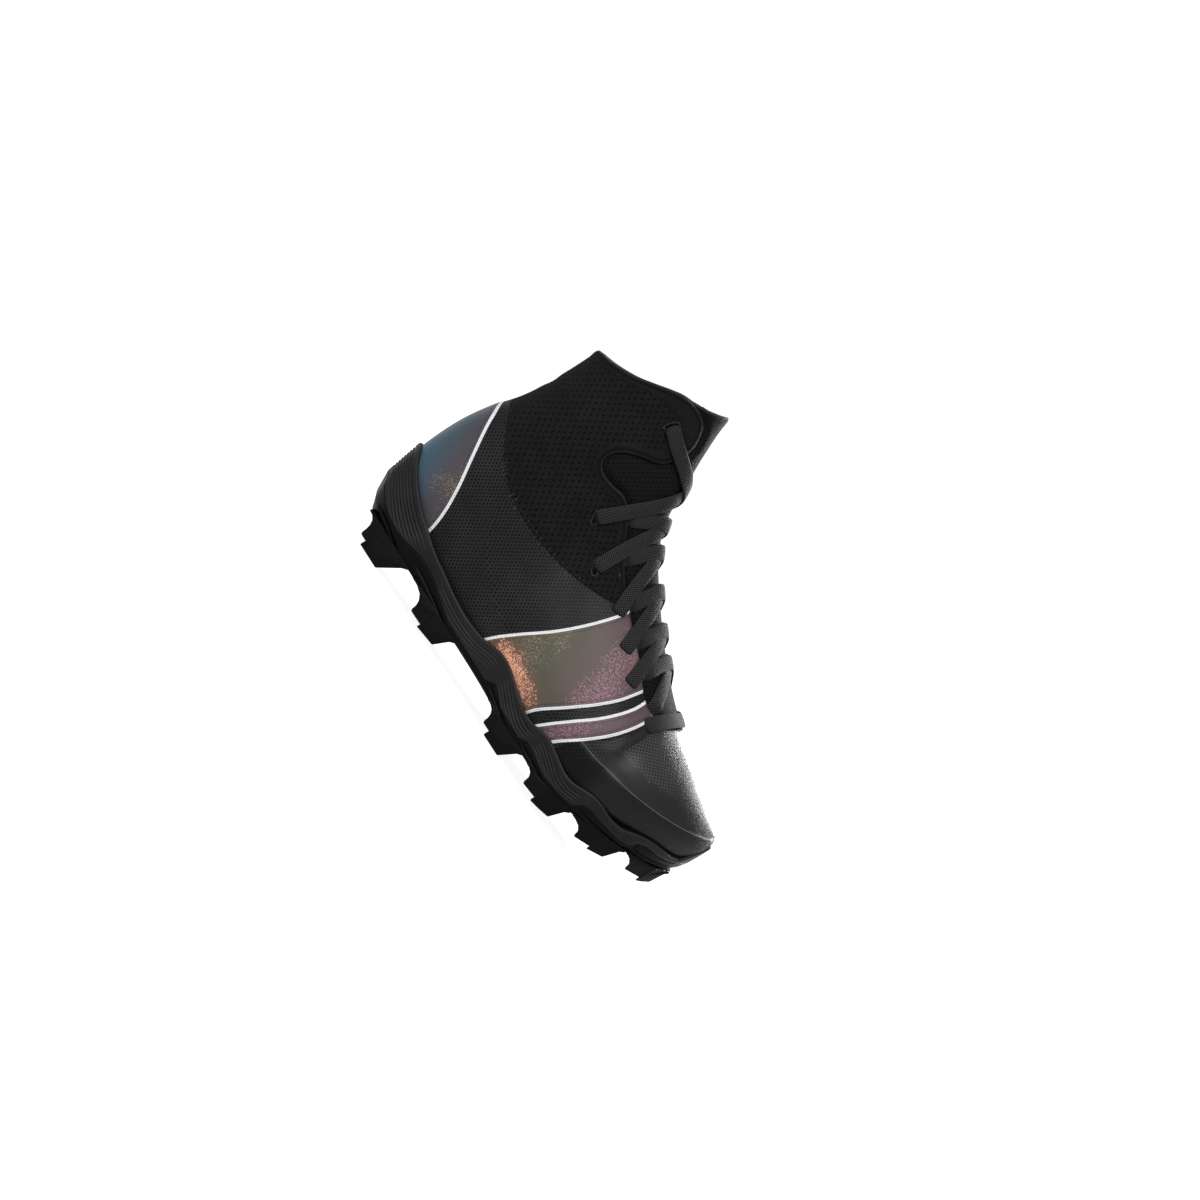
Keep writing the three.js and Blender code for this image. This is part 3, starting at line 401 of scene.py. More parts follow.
def rounded(line, parts=6, closed=False):
    """A smooth line through the points of another."""
    line = np.array(line, float)
    if closed:
        line = np.concatenate([line[-1:], line, line[:2]])
    else:
        line = np.concatenate([2 * line[:1] - line[1:2], line, 2 * line[-1:] - line[-2:-1]])
    gaps = np.maximum(np.linalg.norm(np.diff(line, axis=0), axis=1) ** 0.5, 1e-4)
    out = []
    for n in range(1, len(line) - 2):
        a, b, c, d = line[n - 1 : n + 3]
        g0, g1, g2 = gaps[n - 1 : n + 2]
        start = ((b - a) / g0 - (c - a) / (g0 + g1) + (c - b) / g1) * g1
        end = ((c - b) / g1 - (d - b) / (g1 + g2) + (d - c) / g2) * g1
        p = np.linspace(0, 1, parts, endpoint=False)[:, None]
        cube, square = 2 * b - 2 * c + start + end, 3 * c - 3 * b - 2 * start - end
        out.append(b + start * p + square * p**2 + cube * p**3)
    if not closed:
        out.append(line[-2:-1])
    return np.concatenate(out)


def to_line(points, line, closed=False):
    """Distance of points from a line, and how far along the line the nearest spot is."""
    line = np.array(line, float)
    if closed:
        line = np.concatenate([line, line[:1]])
    nearest = np.full(len(points), np.inf)
    along = np.zeros(len(points))
    start = 0.0
    for a, b in zip(line[:-1], line[1:]):
        span = b - a
        size = max(float(np.hypot(*span)), 1e-6)
        share = np.clip(((points - a) @ span) / size**2, 0, 1)
        gap = np.linalg.norm(points - (a + share[:, None] * span), axis=1)
        better = gap < nearest
        nearest = np.where(better, gap, nearest)
        along = np.where(better, start + share * size, along)
        start += size
    return nearest, along


def is_inside(points, outline):
    outline = np.array(outline, float)
    inside = np.zeros(len(points), bool)
    x, z = points[:, 0], points[:, 1]
    for (ax, az), (bx, bz) in zip(outline, np.roll(outline, -1, axis=0)):
        if az == bz:
            continue
        crosses = (az > z) != (bz > z)
        inside ^= crosses & (x < (bx - ax) * (z - az) / (bz - az) + ax)
    return inside


def into(points, outline):
    """Distance into a closed outline, below 0 outside it, and the run along its edge."""
    gap, along = to_line(points, outline, closed=True)
    return np.where(is_inside(points, outline), gap, -gap), along


def picked(choose, pairs):
    """Of several distances and runs, the chosen one at every spot."""
    gaps, runs = zip(*pairs)
    best = choose(gaps, axis=0)
    return best, np.select([best == gap for gap in gaps], runs)


def opening_outline():
    edge = rounded(side_view(OPENING_EDGE), 5)
    above = foot_bed(0.0) + UPPER_HEIGHT + 60
    back, front = edge[0], edge[-1]
    ends = [[front[0] + 10, front[1] + 30], [front[0], above], [back[0] - 30, above]]
    return np.concatenate([[[back[0] - 30, back[1]]], edge, ends])


opening = opening_outline()
tongue_outline = side_view(TONGUE_OUTLINE)


def snapped(row, angle, signed):
    """Moves the spots of a grid that lie next to an outline onto it."""
    best = np.full(signed.shape, 2.0)
    new_row, new_angle, new_signed = row.copy(), angle.copy(), signed.copy()
    for a, b in (
        ((slice(None, -1), slice(None)), (slice(1, None), slice(None))),
        ((slice(None), slice(None, -1)), (slice(None), slice(1, None))),
    ):
        crossing = signed[a] * signed[b] < 0
        share = np.where(crossing, signed[a] / np.where(crossing, signed[a] - signed[b], 1), 0)
        for end, part in ((a, share), (b, 1 - share)):
            better = crossing & (part <= 0.5) & (part < best[end])
            best[end] = np.where(better, part, best[end])
            mid_row = row[a] + share * (row[b] - row[a])
            mid_angle = angle[a] + share * (angle[b] - angle[a])
            new_row[end] = np.where(better, mid_row, new_row[end])
            new_angle[end] = np.where(better, mid_angle, new_angle[end])
    new_signed[best < 2] = 0
    return new_row, new_angle, new_signed


def placed(points):
    return (np.asarray(points, float) - MIDDLE) / 1000


def lay_grid(rows, columns, points):
    """A bmesh grid whose corners take places in millimetres, with their numbers kept."""
    bm = bmesh.new()
    bmesh.ops.create_grid(bm, x_segments=columns - 1, y_segments=rows - 1, size=1.0)
    seed = bm.verts.layers.int.new("seed")
    places = placed(points.reshape(-1, 3))
    for vert in bm.verts:
        column = round((vert.co.x + 1) / 2 * (columns - 1))
        row = round((vert.co.y + 1) / 2 * (rows - 1))
        vert[seed] = row * columns + column
        vert.co = places[vert[seed]]
    return bm, seed


def cut_away(bm, seed, signed):
    """Deletes what lies outside an outline that the grid's corners were moved onto."""
    signed = signed.reshape(-1)
    for face in list(bm.faces):
        values = [signed[vert[seed]] for vert in face.verts]
        if min(values) < 0 < max(values):
            zeros = [vert for vert, value in zip(face.verts, values) if value == 0]
            if len(zeros) == 2:
                bmesh.utils.face_split(face, zeros[0], zeros[1])
    gone = [face for face in bm.faces if min(signed[vert[seed]] for vert in face.verts) < 0]
    bmesh.ops.delete(bm, geom=gone, context="FACES")


def cut_grid(rows, columns, inward):
    """An even grid over the last whose spots next to an outline lie on it.

    inward gives the distance of spots of the side view into the kept part.
    """
    row, angle, flat = even_grid(rows, columns)
    kept = inward(side_spots(row, angle)).reshape(row.shape)
    row, angle, kept = snapped(row, angle, kept)
    spots = side_spots(row, angle)
    edge = np.where(kept.reshape(-1) == 0, 0.0, inward(spots))
    return row, angle, flat, kept, spots, edge


def skin_mesh(row, angle, kept, grow):
    """A bmesh of the kept part of a grid, grown off the last's skin."""
    points = grown(row, angle, grow.reshape(row.shape))
    bm, seed = lay_grid(*row.shape, points)
    cut_away(bm, seed, kept)
    return bm, seed, points


def finish_mesh(bm, name, seed=None, facts=None, flat=None, outward=None):
    """Makes a shaded object of a bmesh, with facts of its corners as attributes."""
    if outward is not None:
        bm.normal_update()
        sample = max(bm.faces, key=lambda face: face.calc_area())
        if sample.normal.dot(sample.calc_center_median() - Vector(outward)) < 0:
            bmesh.ops.reverse_faces(bm, faces=bm.faces[:])
    mesh = bpy.data.meshes.new(name)
    bm.to_mesh(mesh)
    bm.free()
    if seed is not None:
        numbers = np.zeros(len(mesh.vertices), np.int32)
        mesh.attributes["seed"].data.foreach_get("value", numbers)
        for fact, values in (facts or {}).items():
            layer = mesh.attributes.new(fact, "FLOAT", "POINT")
            layer.data.foreach_set("value", values.reshape(-1)[numbers].astype(np.float32))
        if flat is not None:
            corners = np.zeros(len(mesh.loops), np.int32)
            mesh.loops.foreach_get("vertex_index", corners)
            layer = mesh.uv_layers.new(name="skin")
            spread = flat.reshape(-1, 2)[numbers][corners].astype(np.float32)
            layer.data.foreach_set("uv", spread.reshape(-1))
        mesh.attributes.remove(mesh.attributes["seed"])
    mesh.shade_smooth()
    piece = bpy.data.objects.new(name, mesh)
    bpy.context.scene.collection.objects.link(piece)
    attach(piece, "root")
    return piece


class Finish:
    """A node material, built up step by step."""

    def __init__(self, name, roughness, specular):
        self.material = bpy.data.materials.new(name)
        self.material.use_nodes = True
        self.tree = self.material.node_tree
        self.shader = self.tree.nodes["Principled BSDF"]
        self.put("Roughness", roughness)
        self.put("Specular IOR Level", specular)

    def put(self, socket, value):
        if isinstance(value, bpy.types.NodeSocket):
            self.tree.links.new(value, self.shader.inputs[socket])
        else:
            self.shader.inputs[socket].default_value = value

    def node(self, kind, inputs=(), **settings):
        node = self.tree.nodes.new(kind)
        for name, value in settings.items():
            setattr(node, name, value)
        for socket, value in dict(inputs).items():
            if isinstance(value, bpy.types.NodeSocket):
                self.tree.links.new(value, node.inputs[socket])
            else:
                node.inputs[socket].default_value = value
        return node

    def math(self, operation, a, b=0.0, c=0.0):
        node = self.node("ShaderNodeMath", {0: a, 1: b, 2: c}, operation=operation)
        return node.outputs[0]

    def fact(self, name):
        node = self.node("ShaderNodeAttribute", attribute_name=name)
        return node.outputs["Fac"]

    def step(self, value, low, high):
        """0 below low and 1 above high, or the other way round where high is the lower."""
        flip = high < low
        ends = {"From Min": min(low, high), "From Max": max(low, high)}
        ends.update({"To Min": 1.0 if flip else 0.0, "To Max": 0.0 if flip else 1.0})
        node = self.node(
            "ShaderNodeMapRange", {"Value": value, **ends}, interpolation_type="SMOOTHSTEP"
        )
        return node.outputs[0]

    def line(self, value, at, half, soft):
        """1 on a line where value equals at."""
        away = self.math("ABSOLUTE", self.math("SUBTRACT", value, at))
        return self.step(away, half + soft, half)

    def dashes(self, run, pitch, end=0.7):
        """1 on the threads of a stitched line and 0 between them."""
        return self.step(self.math("FRACT", self.math("DIVIDE", run, pitch)), end, 0.6)

    def times(self, *masks):
        total = masks[0]
        for mask in masks[1:]:
            total = self.math("MULTIPLY", total, mask)
        return total

    def blend(self, share, a, b):
        node = self.node("ShaderNodeMix", {0: share, 6: a, 7: b}, data_type="RGBA")
        return node.outputs[2]

    def paint(self, colour, *coats):
        """Lays coats over a colour, each as its mask, its share and its tone."""
        for mask, share, tone in coats:
            colour = self.blend(self.times(mask, share), colour, rgba(tone))
        return colour

    def level(self, share, a, b):
        node = self.node("ShaderNodeMix", {0: share, 2: a, 3: b}, data_type="FLOAT")
        return node.outputs[0]

    def flat_spot(self):
        """The two places of a spot on the skin laid flat, in millimetres."""
        spot = self.node("ShaderNodeUVMap", uv_map="skin").outputs[0]
        parts = self.node("ShaderNodeSeparateXYZ", {0: spot})
        return spot, parts.outputs[0], parts.outputs[1]

    def cells(self, u, v, pitch, size, stagger=0.5):
        """How far a spot is from the middle of its cell: below 1 within size of it."""
        row = self.math("FLOOR", self.math("DIVIDE", v, pitch[1]))
        shift = self.math("MULTIPLY", row, stagger)
        across = self.math("FRACT", self.math("ADD", self.math("DIVIDE", u, pitch[0]), shift))
        up = self.math("FRACT", self.math("DIVIDE", v, pitch[1]))
        across = self.math("MULTIPLY", self.math("SUBTRACT", across, 0.5), pitch[0] / size[0])
        up = self.math("MULTIPLY", self.math("SUBTRACT", up, 0.5), pitch[1] / size[1])
        square = self.math("ADD", self.times(across, across), self.times(up, up))
        return self.math("SQRT", square)

    def noise(self, vector, scale, detail=3.0, roughness=0.6):
        inputs = {"Vector": vector, "Scale": scale, "Detail": detail, "Roughness": roughness}
        return self.node("ShaderNodeTexNoise", inputs).outputs[0]

    def speckle(self, spot, scale, channel):
        """A random level in each cell of a fine mosaic."""
        cells = self.node("ShaderNodeTexVoronoi", {"Vector": spot, "Scale": scale})
        return self.node("ShaderNodeSeparateColor", {0: cells.outputs["Color"]}).outputs[channel]

    def place(self):
        return self.node("ShaderNodeTexCoord").outputs["Object"]

    def bump(self, height, depth, strength=1.0):
        inputs = {"Height": height, "Distance": depth, "Strength": strength}
        self.put("Normal", self.node("ShaderNodeBump", inputs).outputs[0])

    def join(self, parts):
        """The sum of masks, each times its own weight."""
        total = 0.0
        for mask, weight in parts:
            total = self.math("MULTIPLY_ADD", mask, weight, total)
        return total


def rgba(colour):
    return (*colour, 1.0)


class CleatColours(bpy.types.PropertyGroup):
    """Colours of the shoe's materials."""

    quarter: FloatVectorProperty(
        name="Quarter", description="Coated textile of the upper", subtype="COLOR",
        default=(0.0082, 0.0082, 0.0087),
    )
    knit: FloatVectorProperty(
        name="Knit", description="Knit of the collar and the tongue", subtype="COLOR",
        default=(0.0034, 0.0034, 0.0037),
    )
    sole: FloatVectorProperty(
        name="Sole", description="Foam and moulded plate", subtype="COLOR",
        default=(0.0034, 0.0034, 0.0037),
    )
    lace: FloatVectorProperty(
        name="Lace", description="Flat woven lace", subtype="COLOR",
        default=(0.029, 0.029, 0.031),
    )
    piping: FloatVectorProperty(
        name="Piping", description="Light edge of the film panels", subtype="COLOR",
        default=(0.4, 0.4, 0.41),
    )


class CleatSizes(bpy.types.PropertyGroup):
    """Sizes of the dressed pieces."""

    wall: FloatProperty(
        name="Wall", description="Thickness of the upper", default=0.0022, unit="LENGTH"
    )
    tongue: FloatProperty(
        name="Tongue", description="Thickness of the tongue", default=0.003, unit="LENGTH"
    )
    lace_width: FloatProperty(
        name="Lace width", description="Width of the flat lace", default=0.0096, unit="LENGTH"
    )
    lace_thickness: FloatProperty(
        name="Lace thickness", description="Thickness of the lace", default=0.0017,
        unit="LENGTH",
    )


class StageSettings(bpy.types.PropertyGroup):
    """The floor, the lights and the camera."""

    sky: FloatProperty(name="Sky", description="Brightness of the surroundings", default=1.0)
    roll: FloatProperty(
        name="Roll", description="Turn of the camera about its view",
        default=math.radians(56.5), subtype="ANGLE",
    )
    elevation: FloatProperty(
        name="Elevation", description="Height of the camera over the horizon",
        default=math.radians(3.5), subtype="ANGLE",
    )
    lens: FloatProperty(
        name="Lens", description="Focal length in millimetres", default=148.0
    )
    framed: FloatProperty(
        name="Framed", description="Width that the picture takes in", default=0.7307,
        unit="LENGTH",
    )


def film_tone(f, spot, u, v):
    """Iridescent film: hues that drift along the shoe, sparkle in patches and a warm glow."""
    along = f.math("MULTIPLY_ADD", v, 0.0016, f.math("MULTIPLY", u, 1 / 300.0))
    ramp = f.node("ShaderNodeValToRGB", {0: along})
    elements = ramp.color_ramp.elements
    while len(elements) < len(FILM_HUES):
        elements.new(0.5)
    for element, (at, tone) in zip(elements, FILM_HUES):
        element.position = at
        element.color = rgba(tone)
    patch = f.noise(spot, 0.035, 2.0)
    golden = f.times(f.line(u, 132.0, 6.0, 26.0), f.step(patch, 0.3, 0.7))
    rosy = f.times(f.line(f.math("MULTIPLY_ADD", v, 0.25, u), 206.0, 3.0, 17.0), 0.85)
    cool = f.times(f.line(u, 34.0, 4.0, 24.0), f.step(patch, 0.35, 0.75))
    dense = f.math("MAXIMUM", f.math("MAXIMUM", golden, rosy), cool)
    sparkle = f.step(f.math("MULTIPLY_ADD", dense, 0.5, f.speckle(spot, 1.9, 0)), 1.0, 1.12)
    warmth = f.node("ShaderNodeMapRange", {"Value": u, "From Min": 150.0, "From Max": 190.0})
    spark_tone = f.blend(warmth.outputs[0], (0.2, 0.16, 0.09, 1), (0.25, 0.12, 0.16, 1))
    lift = f.math("SUBTRACT", v, f.math("MULTIPLY_ADD", u, -0.1, 50.0))
    glow = f.times(f.step(u, 120, 140), f.step(u, 186, 150), f.line(lift, 0.0, 0.5, 15.0))
    embers = f.step(f.math("MULTIPLY_ADD", glow, 0.9, f.speckle(spot, 1.6, 1)), 1.12, 1.3)
    colour = f.blend(f.times(sparkle, 0.45), ramp.outputs[0], spark_tone)
    return f.paint(colour, (glow, 0.3, (0.3, 0.1, 0.075)), (embers, 0.65, (0.52, 0.25, 0.16)))


def upper_finish(colours):
    """Quarter, knit collar, film panels, piping, toe guard, seams and eyelets, with a painted
    highlight on the opening's rim.
    """
    f = Finish("upper_skin", 0.5, 0.04)
    spot, u, v = f.flat_spot()
    place = f.place()
    edge, film, collar = f.fact("edge"), f.fact("film"), f.fact("collar")
    guard, plain, slit = f.fact("guard"), f.fact("plain"), f.fact("slit")
    is_film, off_film = f.step(film, -0.1, 0.1), f.step(film, 0.1, -0.1)
    on_collar = f.step(collar, -0.2, 0.2)
    is_knit = f.times(on_collar, off_film)
    is_guard = f.times(f.step(guard, -0.2, 0.2), off_film)
    fine = f.noise(place, 2200.0, 4.0)
    mottle = f.step(f.noise(place, 950.0, 2.0), 0.42, 0.62)

    # Knit with rows of slits, dotted quarter, vamp of small combs
    slits = f.cells(u, v, (4.5, 3.1), (0.44, 1.05))
    holes = f.times(is_knit, f.step(plain, -0.2, 0.6), f.step(slits, 1.25, 0.7))
    loops = f.cells(u, v, (0.82, 0.62), (0.42, 0.34))
    knit_relief = f.times(f.step(loops, 1.1, 0.2), is_knit)
    dots = f.cells(u, v, (2.5, 1.8), (0.7, 0.62))
    quarter = f.times(f.step(collar, 0.2, -0.2), f.step(u, 221.0, 219.0), off_film)
    pits = f.times(f.step(dots, 1.2, 0.7), quarter, f.step(v, 20.0, 36.0))
    comb = f.cells(u, v, (2.7, 1.5), (1.08, 0.72))
    vamp = f.times(f.step(u, 224.4, 225.0), f.step(f.fact("cap"), 16.0, -12.0),
                   f.step(guard, -12.0, -13.5))
    combs = f.times(vamp, f.step(edge, 1.0, 2.0), f.step(comb, 1.15, 0.6))

    # Stitches, seams, piping and eyelet slits
    dash = f.dashes(f.fact("stitch_run"), 2.6, 0.68)
    stitches = f.times(f.step(f.fact("stitch"), 0.45, 0.25), dash)
    film_stitch = f.times(f.line(film, 2.6, 0.16, 0.12), f.dashes(f.fact("film_run"), 2.0))
    rim_stitch = f.times(f.line(slit, 1.2, 0.16, 0.12), f.dashes(f.fact("slit_run"), 1.7))
    piping = f.line(film, 0.0, 0.85, 0.12)
    seam = f.step(f.fact("seam"), 0.75, 0.3)
    seam_lip = f.line(f.fact("seam"), 1.1, 0.35, 0.4)
    guard_edge = f.times(f.line(guard, 0.0, 0.1, 0.22), f.step(film, -0.8, -1.2))
    hole, hole_rim = f.step(slit, 0.3, -0.1), f.line(slit, 0.7, 0.25, 0.3)

    cloth = f.blend(is_knit, rgba(colours.quarter), rgba(colours.knit))
    broad = f.step(f.noise(place, 38.0, 2.0), 0.35, 0.75)
    worn = f.blend(broad, (0.7, 0.7, 0.7, 1), (1.3, 1.3, 1.32, 1))
    tint = f.node("ShaderNodeMix", {0: 1.0, 6: cloth, 7: worn}, data_type="RGBA",
                  blend_type="MULTIPLY")
    colour = f.paint(
        tint.outputs[2],
        (fine, 0.2, (0.02, 0.02, 0.0215)),
        (f.times(mottle, is_knit), 0.45, (0.0085, 0.0085, 0.009)),
        (f.math("ADD", pits, holes), 0.95, HOLLOW),
        (combs, 0.85, (0.036, 0.036, 0.038)),
        # Painted highlight: the opening's rim is lightened where its fold catches the light
        (f.step(edge, 1.2, 0.4), 0.45, PAINTED_RIM_HIGHLIGHT),
        (f.line(edge, 2.4, 0.3, 0.9), 0.6, SHADED),
    )
    film_colour = f.paint(film_tone(f, spot, u, v), (film_stitch, 0.7, (0.02, 0.02, 0.02)))
    f.put("Base Color", f.paint(
        f.blend(is_film, colour, film_colour),
        (stitches, 0.55, THREAD),
        (seam, 0.7, (0.003, 0.003, 0.003)),
        (guard_edge, 0.5, PALE_EDGE),
        (is_guard, 0.8, GUARD_TONE),
        (guard_edge, 0.25, PALE_EDGE),
        (piping, 1.0, colours.piping),
        (rim_stitch, 0.6, (0.07, 0.07, 0.07)),
        (hole, 1.0, (0.001, 0.001, 0.001)),
    ))

    rough = f.level(is_knit, 0.56, 0.85)
    rough = f.level(is_guard, rough, 0.58)
    rough = f.level(f.times(is_film, f.step(piping, 0.5, 0.0)), rough, 0.4)
    f.put("Roughness", f.math("MULTIPLY_ADD", f.math("SUBTRACT", fine, 0.5), 0.25, rough))
    f.put("Metallic", f.times(is_film, f.math("SUBTRACT", 1.0, piping), 0.4))
    toe = f.times(f.step(u, 222.0, 236.0), off_film)
    shine = f.math("MAXIMUM", f.times(toe, 0.3), f.times(is_guard, 0.03))
    quarter_shine = f.times(f.step(u, 222.0, 219.0), f.level(is_knit, 0.06, 0.0))
    shine = f.math("MAXIMUM", shine, quarter_shine)
    f.put("Coat Weight", f.times(shine, f.level(fine, 0.35, 1.3)))
    f.put("Coat Roughness", 0.27)
    ripple = f.node("ShaderNodeTexVoronoi", {"Vector": spot, "Scale": 3.2}).outputs["Distance"]
    binding = f.times(f.step(plain, 0.3, -0.3), on_collar)
    f.bump(f.join([
        (fine, 0.10), (f.times(mottle, toe), 0.4), (f.times(fine, toe), 1.0),
        (holes, -0.8), (knit_relief, 0.28), (pits, -0.5), (combs, 0.5),
        (is_film, 0.45), (piping, 0.55), (film_stitch, -0.3), (stitches, 0.4), (seam, -0.7),
        (seam_lip, 0.25), (is_guard, 0.4), (hole, -1.6), (hole_rim, 0.5), (rim_stitch, 0.3),
        (binding, 0.35), (f.times(ripple, is_film), 0.12),
    ]), 0.001, 0.9)
    return f.material


def lining_finish():
    """Soft inner fabric with a fine knit, and a painted highlight along its upper rim."""
    f = Finish("inner_lining", 0.92, 0.03)
    place = f.place()
    weave = f.node("ShaderNodeTexVoronoi", {"Vector": place, "Scale": 900.0}).outputs["Distance"]
    shade = f.step(f.noise(place, 900.0), 0.35, 0.65)
    # Painted highlight: the opening's upper rim is lightened where its fold catches the light
    rim = f.times(f.step(f.fact("edge"), 1.1, 0.3), f.step(f.fact("rim"), 0.2, 0.8))
    coats = (shade, 0.6, (0.005, 0.005, 0.0054)), (rim, 0.8, PAINTED_RIM_HIGHLIGHT)
    f.put("Base Color", f.paint(rgba(SHADED), *coats))
    f.bump(weave, 0.0004)
    return f.material


def tongue_finish(colours):
    """Padded knit with rows of holes, a smooth edge and a painted highlight along its top rim."""
    f = Finish("tongue_knit", 0.86, 0.03)
    _, u, v = f.flat_spot()
    brim = f.fact("brim")
    dots = f.cells(u, v, (3.4, 2.4), (0.42, 0.62))
    holes = f.times(f.step(dots, 1.25, 0.6), f.step(brim, 5.0, 6.0))
    loops = f.cells(u, v, (0.8, 0.6), (0.42, 0.33))
    fine = f.noise(f.place(), 1800.0)
    # Painted highlight: the tongue's top rim is lightened where it catches the light
    rim = f.times(f.step(brim, 1.2, 0.4), f.fact("rim"))
    f.put("Base Color", f.paint(
        rgba(colours.knit), (fine, 0.3, (0.012, 0.012, 0.013)),
        (holes, 0.9, (0.0006, 0.0006, 0.0006)), (rim, 0.7, PAINTED_RIM_HIGHLIGHT),
    ))
    stitch = f.line(brim, 4.6, 0.3, 0.3)
    height = [(f.step(loops, 1.1, 0.2), 0.25), (holes, -0.8), (fine, 0.15), (stitch, -0.5)]
    f.bump(f.join(height), 0.001, 0.9)
    return f.material


def sole_finish(name, colours, roughness, shade):
    """Moulded foam or rubber with a faint grain, edges lightened as a painted highlight with a
    little rub, and painted shade in its grooves and lines.
    """
    f = Finish(name, roughness, 0.06 * shade + 0.008)
    place = f.place()
    line = f.fact("line")
    grain = f.noise(place, 1500.0, 4.0)
    mottle = f.step(f.noise(place, 45.0, 3.0), 0.35, 0.7)
    tone = [part * shade for part in colours.sole]
    f.put("Base Color", f.paint(
        f.blend(mottle, rgba(tone), rgba([part * 1.45 for part in tone])),
        # Edges lightened: a painted highlight where rounded edges catch the light, with a little
        # rub
        (f.step(f.fact("edge"), 0.2, 1.0), 0.5, (0.018, 0.018, 0.019)),
        # Painted shade in the grooves, the moulded lines and the parting line
        (f.step(line, 0.2, 0.9), 1.0, (0.0008, 0.0008, 0.0008)),
    ))
    f.put("Roughness", f.math("MULTIPLY_ADD", grain, 0.22, roughness - 0.11))
    height = f.node("ShaderNodeSeparateXYZ", {0: place}).outputs[2]
    ribs = f.math("SINE", f.math("MULTIPLY", height, 2 * math.pi / 0.0014))
    relief = [(grain, 0.12), (f.times(ribs, f.fact("rib")), 0.16), (line, -0.5)]
    f.bump(f.join(relief), 0.001, 0.8)
    return f.material


def lace_finish(colours):
    """Flat woven lace of small staggered cells."""
    f = Finish("lace_weave", 0.82, 0.04)
    _, u, v = f.flat_spot()
    thread = f.step(f.cells(v, u, (1.75, 0.95), (0.72, 0.5)), 1.15, 0.35)
    fuzz = f.noise(f.place(), 2600.0)
    colour = f.blend(thread, rgba(GUARD_TONE), rgba(colours.lace))
    f.put("Base Color", f.paint(colour, (fuzz, 0.25, (0.026, 0.026, 0.0275))))
    f.bump(f.join([(thread, 0.45), (fuzz, 0.12)]), 0.001)
    return f.material


def thicken(piece, thickness, inner_slot=0):
    wall = piece.modifiers.new("wall", "SOLIDIFY")
    wall.thickness = thickness
    wall.offset = -1.0
    wall.material_offset = inner_slot


def slit_facts(spots):
    """Distance from the punched slits of the top eyelets, and the run round them."""
    slit, slit_run = np.full(len(spots), 50.0), np.zeros(len(spots))
    for place, height, slant in EYELETS[4:]:
        middle = side_view([place, height])
        along = np.array([math.cos(math.radians(slant)), math.sin(math.radians(slant))])
        gap, _ = to_line(spots, [middle - along * SLIT_HALF, middle + along * SLIT_HALF])
        turn = np.arctan2(spots[:, 1] - middle[1], spots[:, 0] - middle[0])
        slit_run = np.where(gap - SLIT_OPEN < slit, turn * 5.0, slit_run)
        slit = np.minimum(slit, gap - SLIT_OPEN)
    return slit, slit_run


def upper_facts(spots, edge):
    """What the upper's relief and material need to know at spots of the side view."""
    x, z = spots[:, 0], spots[:, 1]
    films = (HEEL_FILM, SADDLE_FILM, SLIM_FILM)
    film, film_run = picked(np.max, [into(spots, rounded(line, 5, True)) for line in films])
    collar_line, guard_line = rounded(COLLAR_SEAM), rounded(GUARD_EDGE)
    collar_gap, collar_run = to_line(spots, collar_line)
    above = z > np.interp(x, collar_line[:, 0], collar_line[:, 1])
    guard_gap, _ = to_line(spots, guard_line)
    below = (z < np.interp(x, guard_line[:, 0], guard_line[:, 1])) & (x > 200)
    band = np.where(z > 118, 5.4 + 7.5 * smooth(48, 84, x) * smooth(178, 192, z), 3.6)
    edge_gap = np.where(x > 100, np.abs(edge - 3.2), OUT_OF_REACH)
    stitch, stitch_run = picked(np.min, [
        to_line(spots, rounded(CAP_STITCH)), (edge_gap, to_line(spots, opening)[1]),
        (np.abs(collar_gap - 1.7), collar_run),
    ])
    seams = [to_line(spots, rounded(line))[0] for line in VAMP_SEAMS] + [collar_gap]
    seams.append(np.where(below | (guard_gap > 3), guard_gap, OUT_OF_REACH))
    on_film = film > -1.2
    slit, slit_run = slit_facts(spots)
    return {
        # rim marks the part above 100 mm, where the lining's painted rim highlight is laid
        "rim": np.where(z > 100, 1.0, 0.0), "edge": edge, "film": film, "film_run": film_run,
        "collar": np.where(above, collar_gap, -collar_gap),
        "guard": np.where(below, guard_gap, -guard_gap),
        "plain": edge - band, "slit": slit, "slit_run": slit_run,
        "seam": np.where(on_film, OUT_OF_REACH, np.min(seams, axis=0)),
        "cap": (x - 262) + 0.3 * (z - 75),
        "stitch": np.where(on_film, OUT_OF_REACH, stitch), "stitch_run": stitch_run,
    }


def upper_relief(spots, facts):
    """How far the upper stands off the last: raised panels, creases and a rounded rim."""
    film, plain, guard = (
        smooth(-STEP_SOFTNESS, STEP_SOFTNESS, facts[name]) for name in ("film", "plain", "guard")
    )
    band = (1 - plain) * smooth(100, 118, spots[:, 1])
    grow = np.maximum(FILM_STEP * film, BAND_STEP * np.maximum(band, guard))
    for line, depth, reach in CREASES:
        gap, _ = to_line(spots, rounded(line))
        trough, swell = (np.exp(-(((gap - at) / reach) ** 2)) for at in (0, 1.8 * reach))
        grow -= depth * (trough - 0.5 * swell)
    near = np.clip(1 - facts["edge"] / RIM_ROUND, 0, 1)
    return grow - 0.9 * (1 - np.sqrt(1 - near**2))


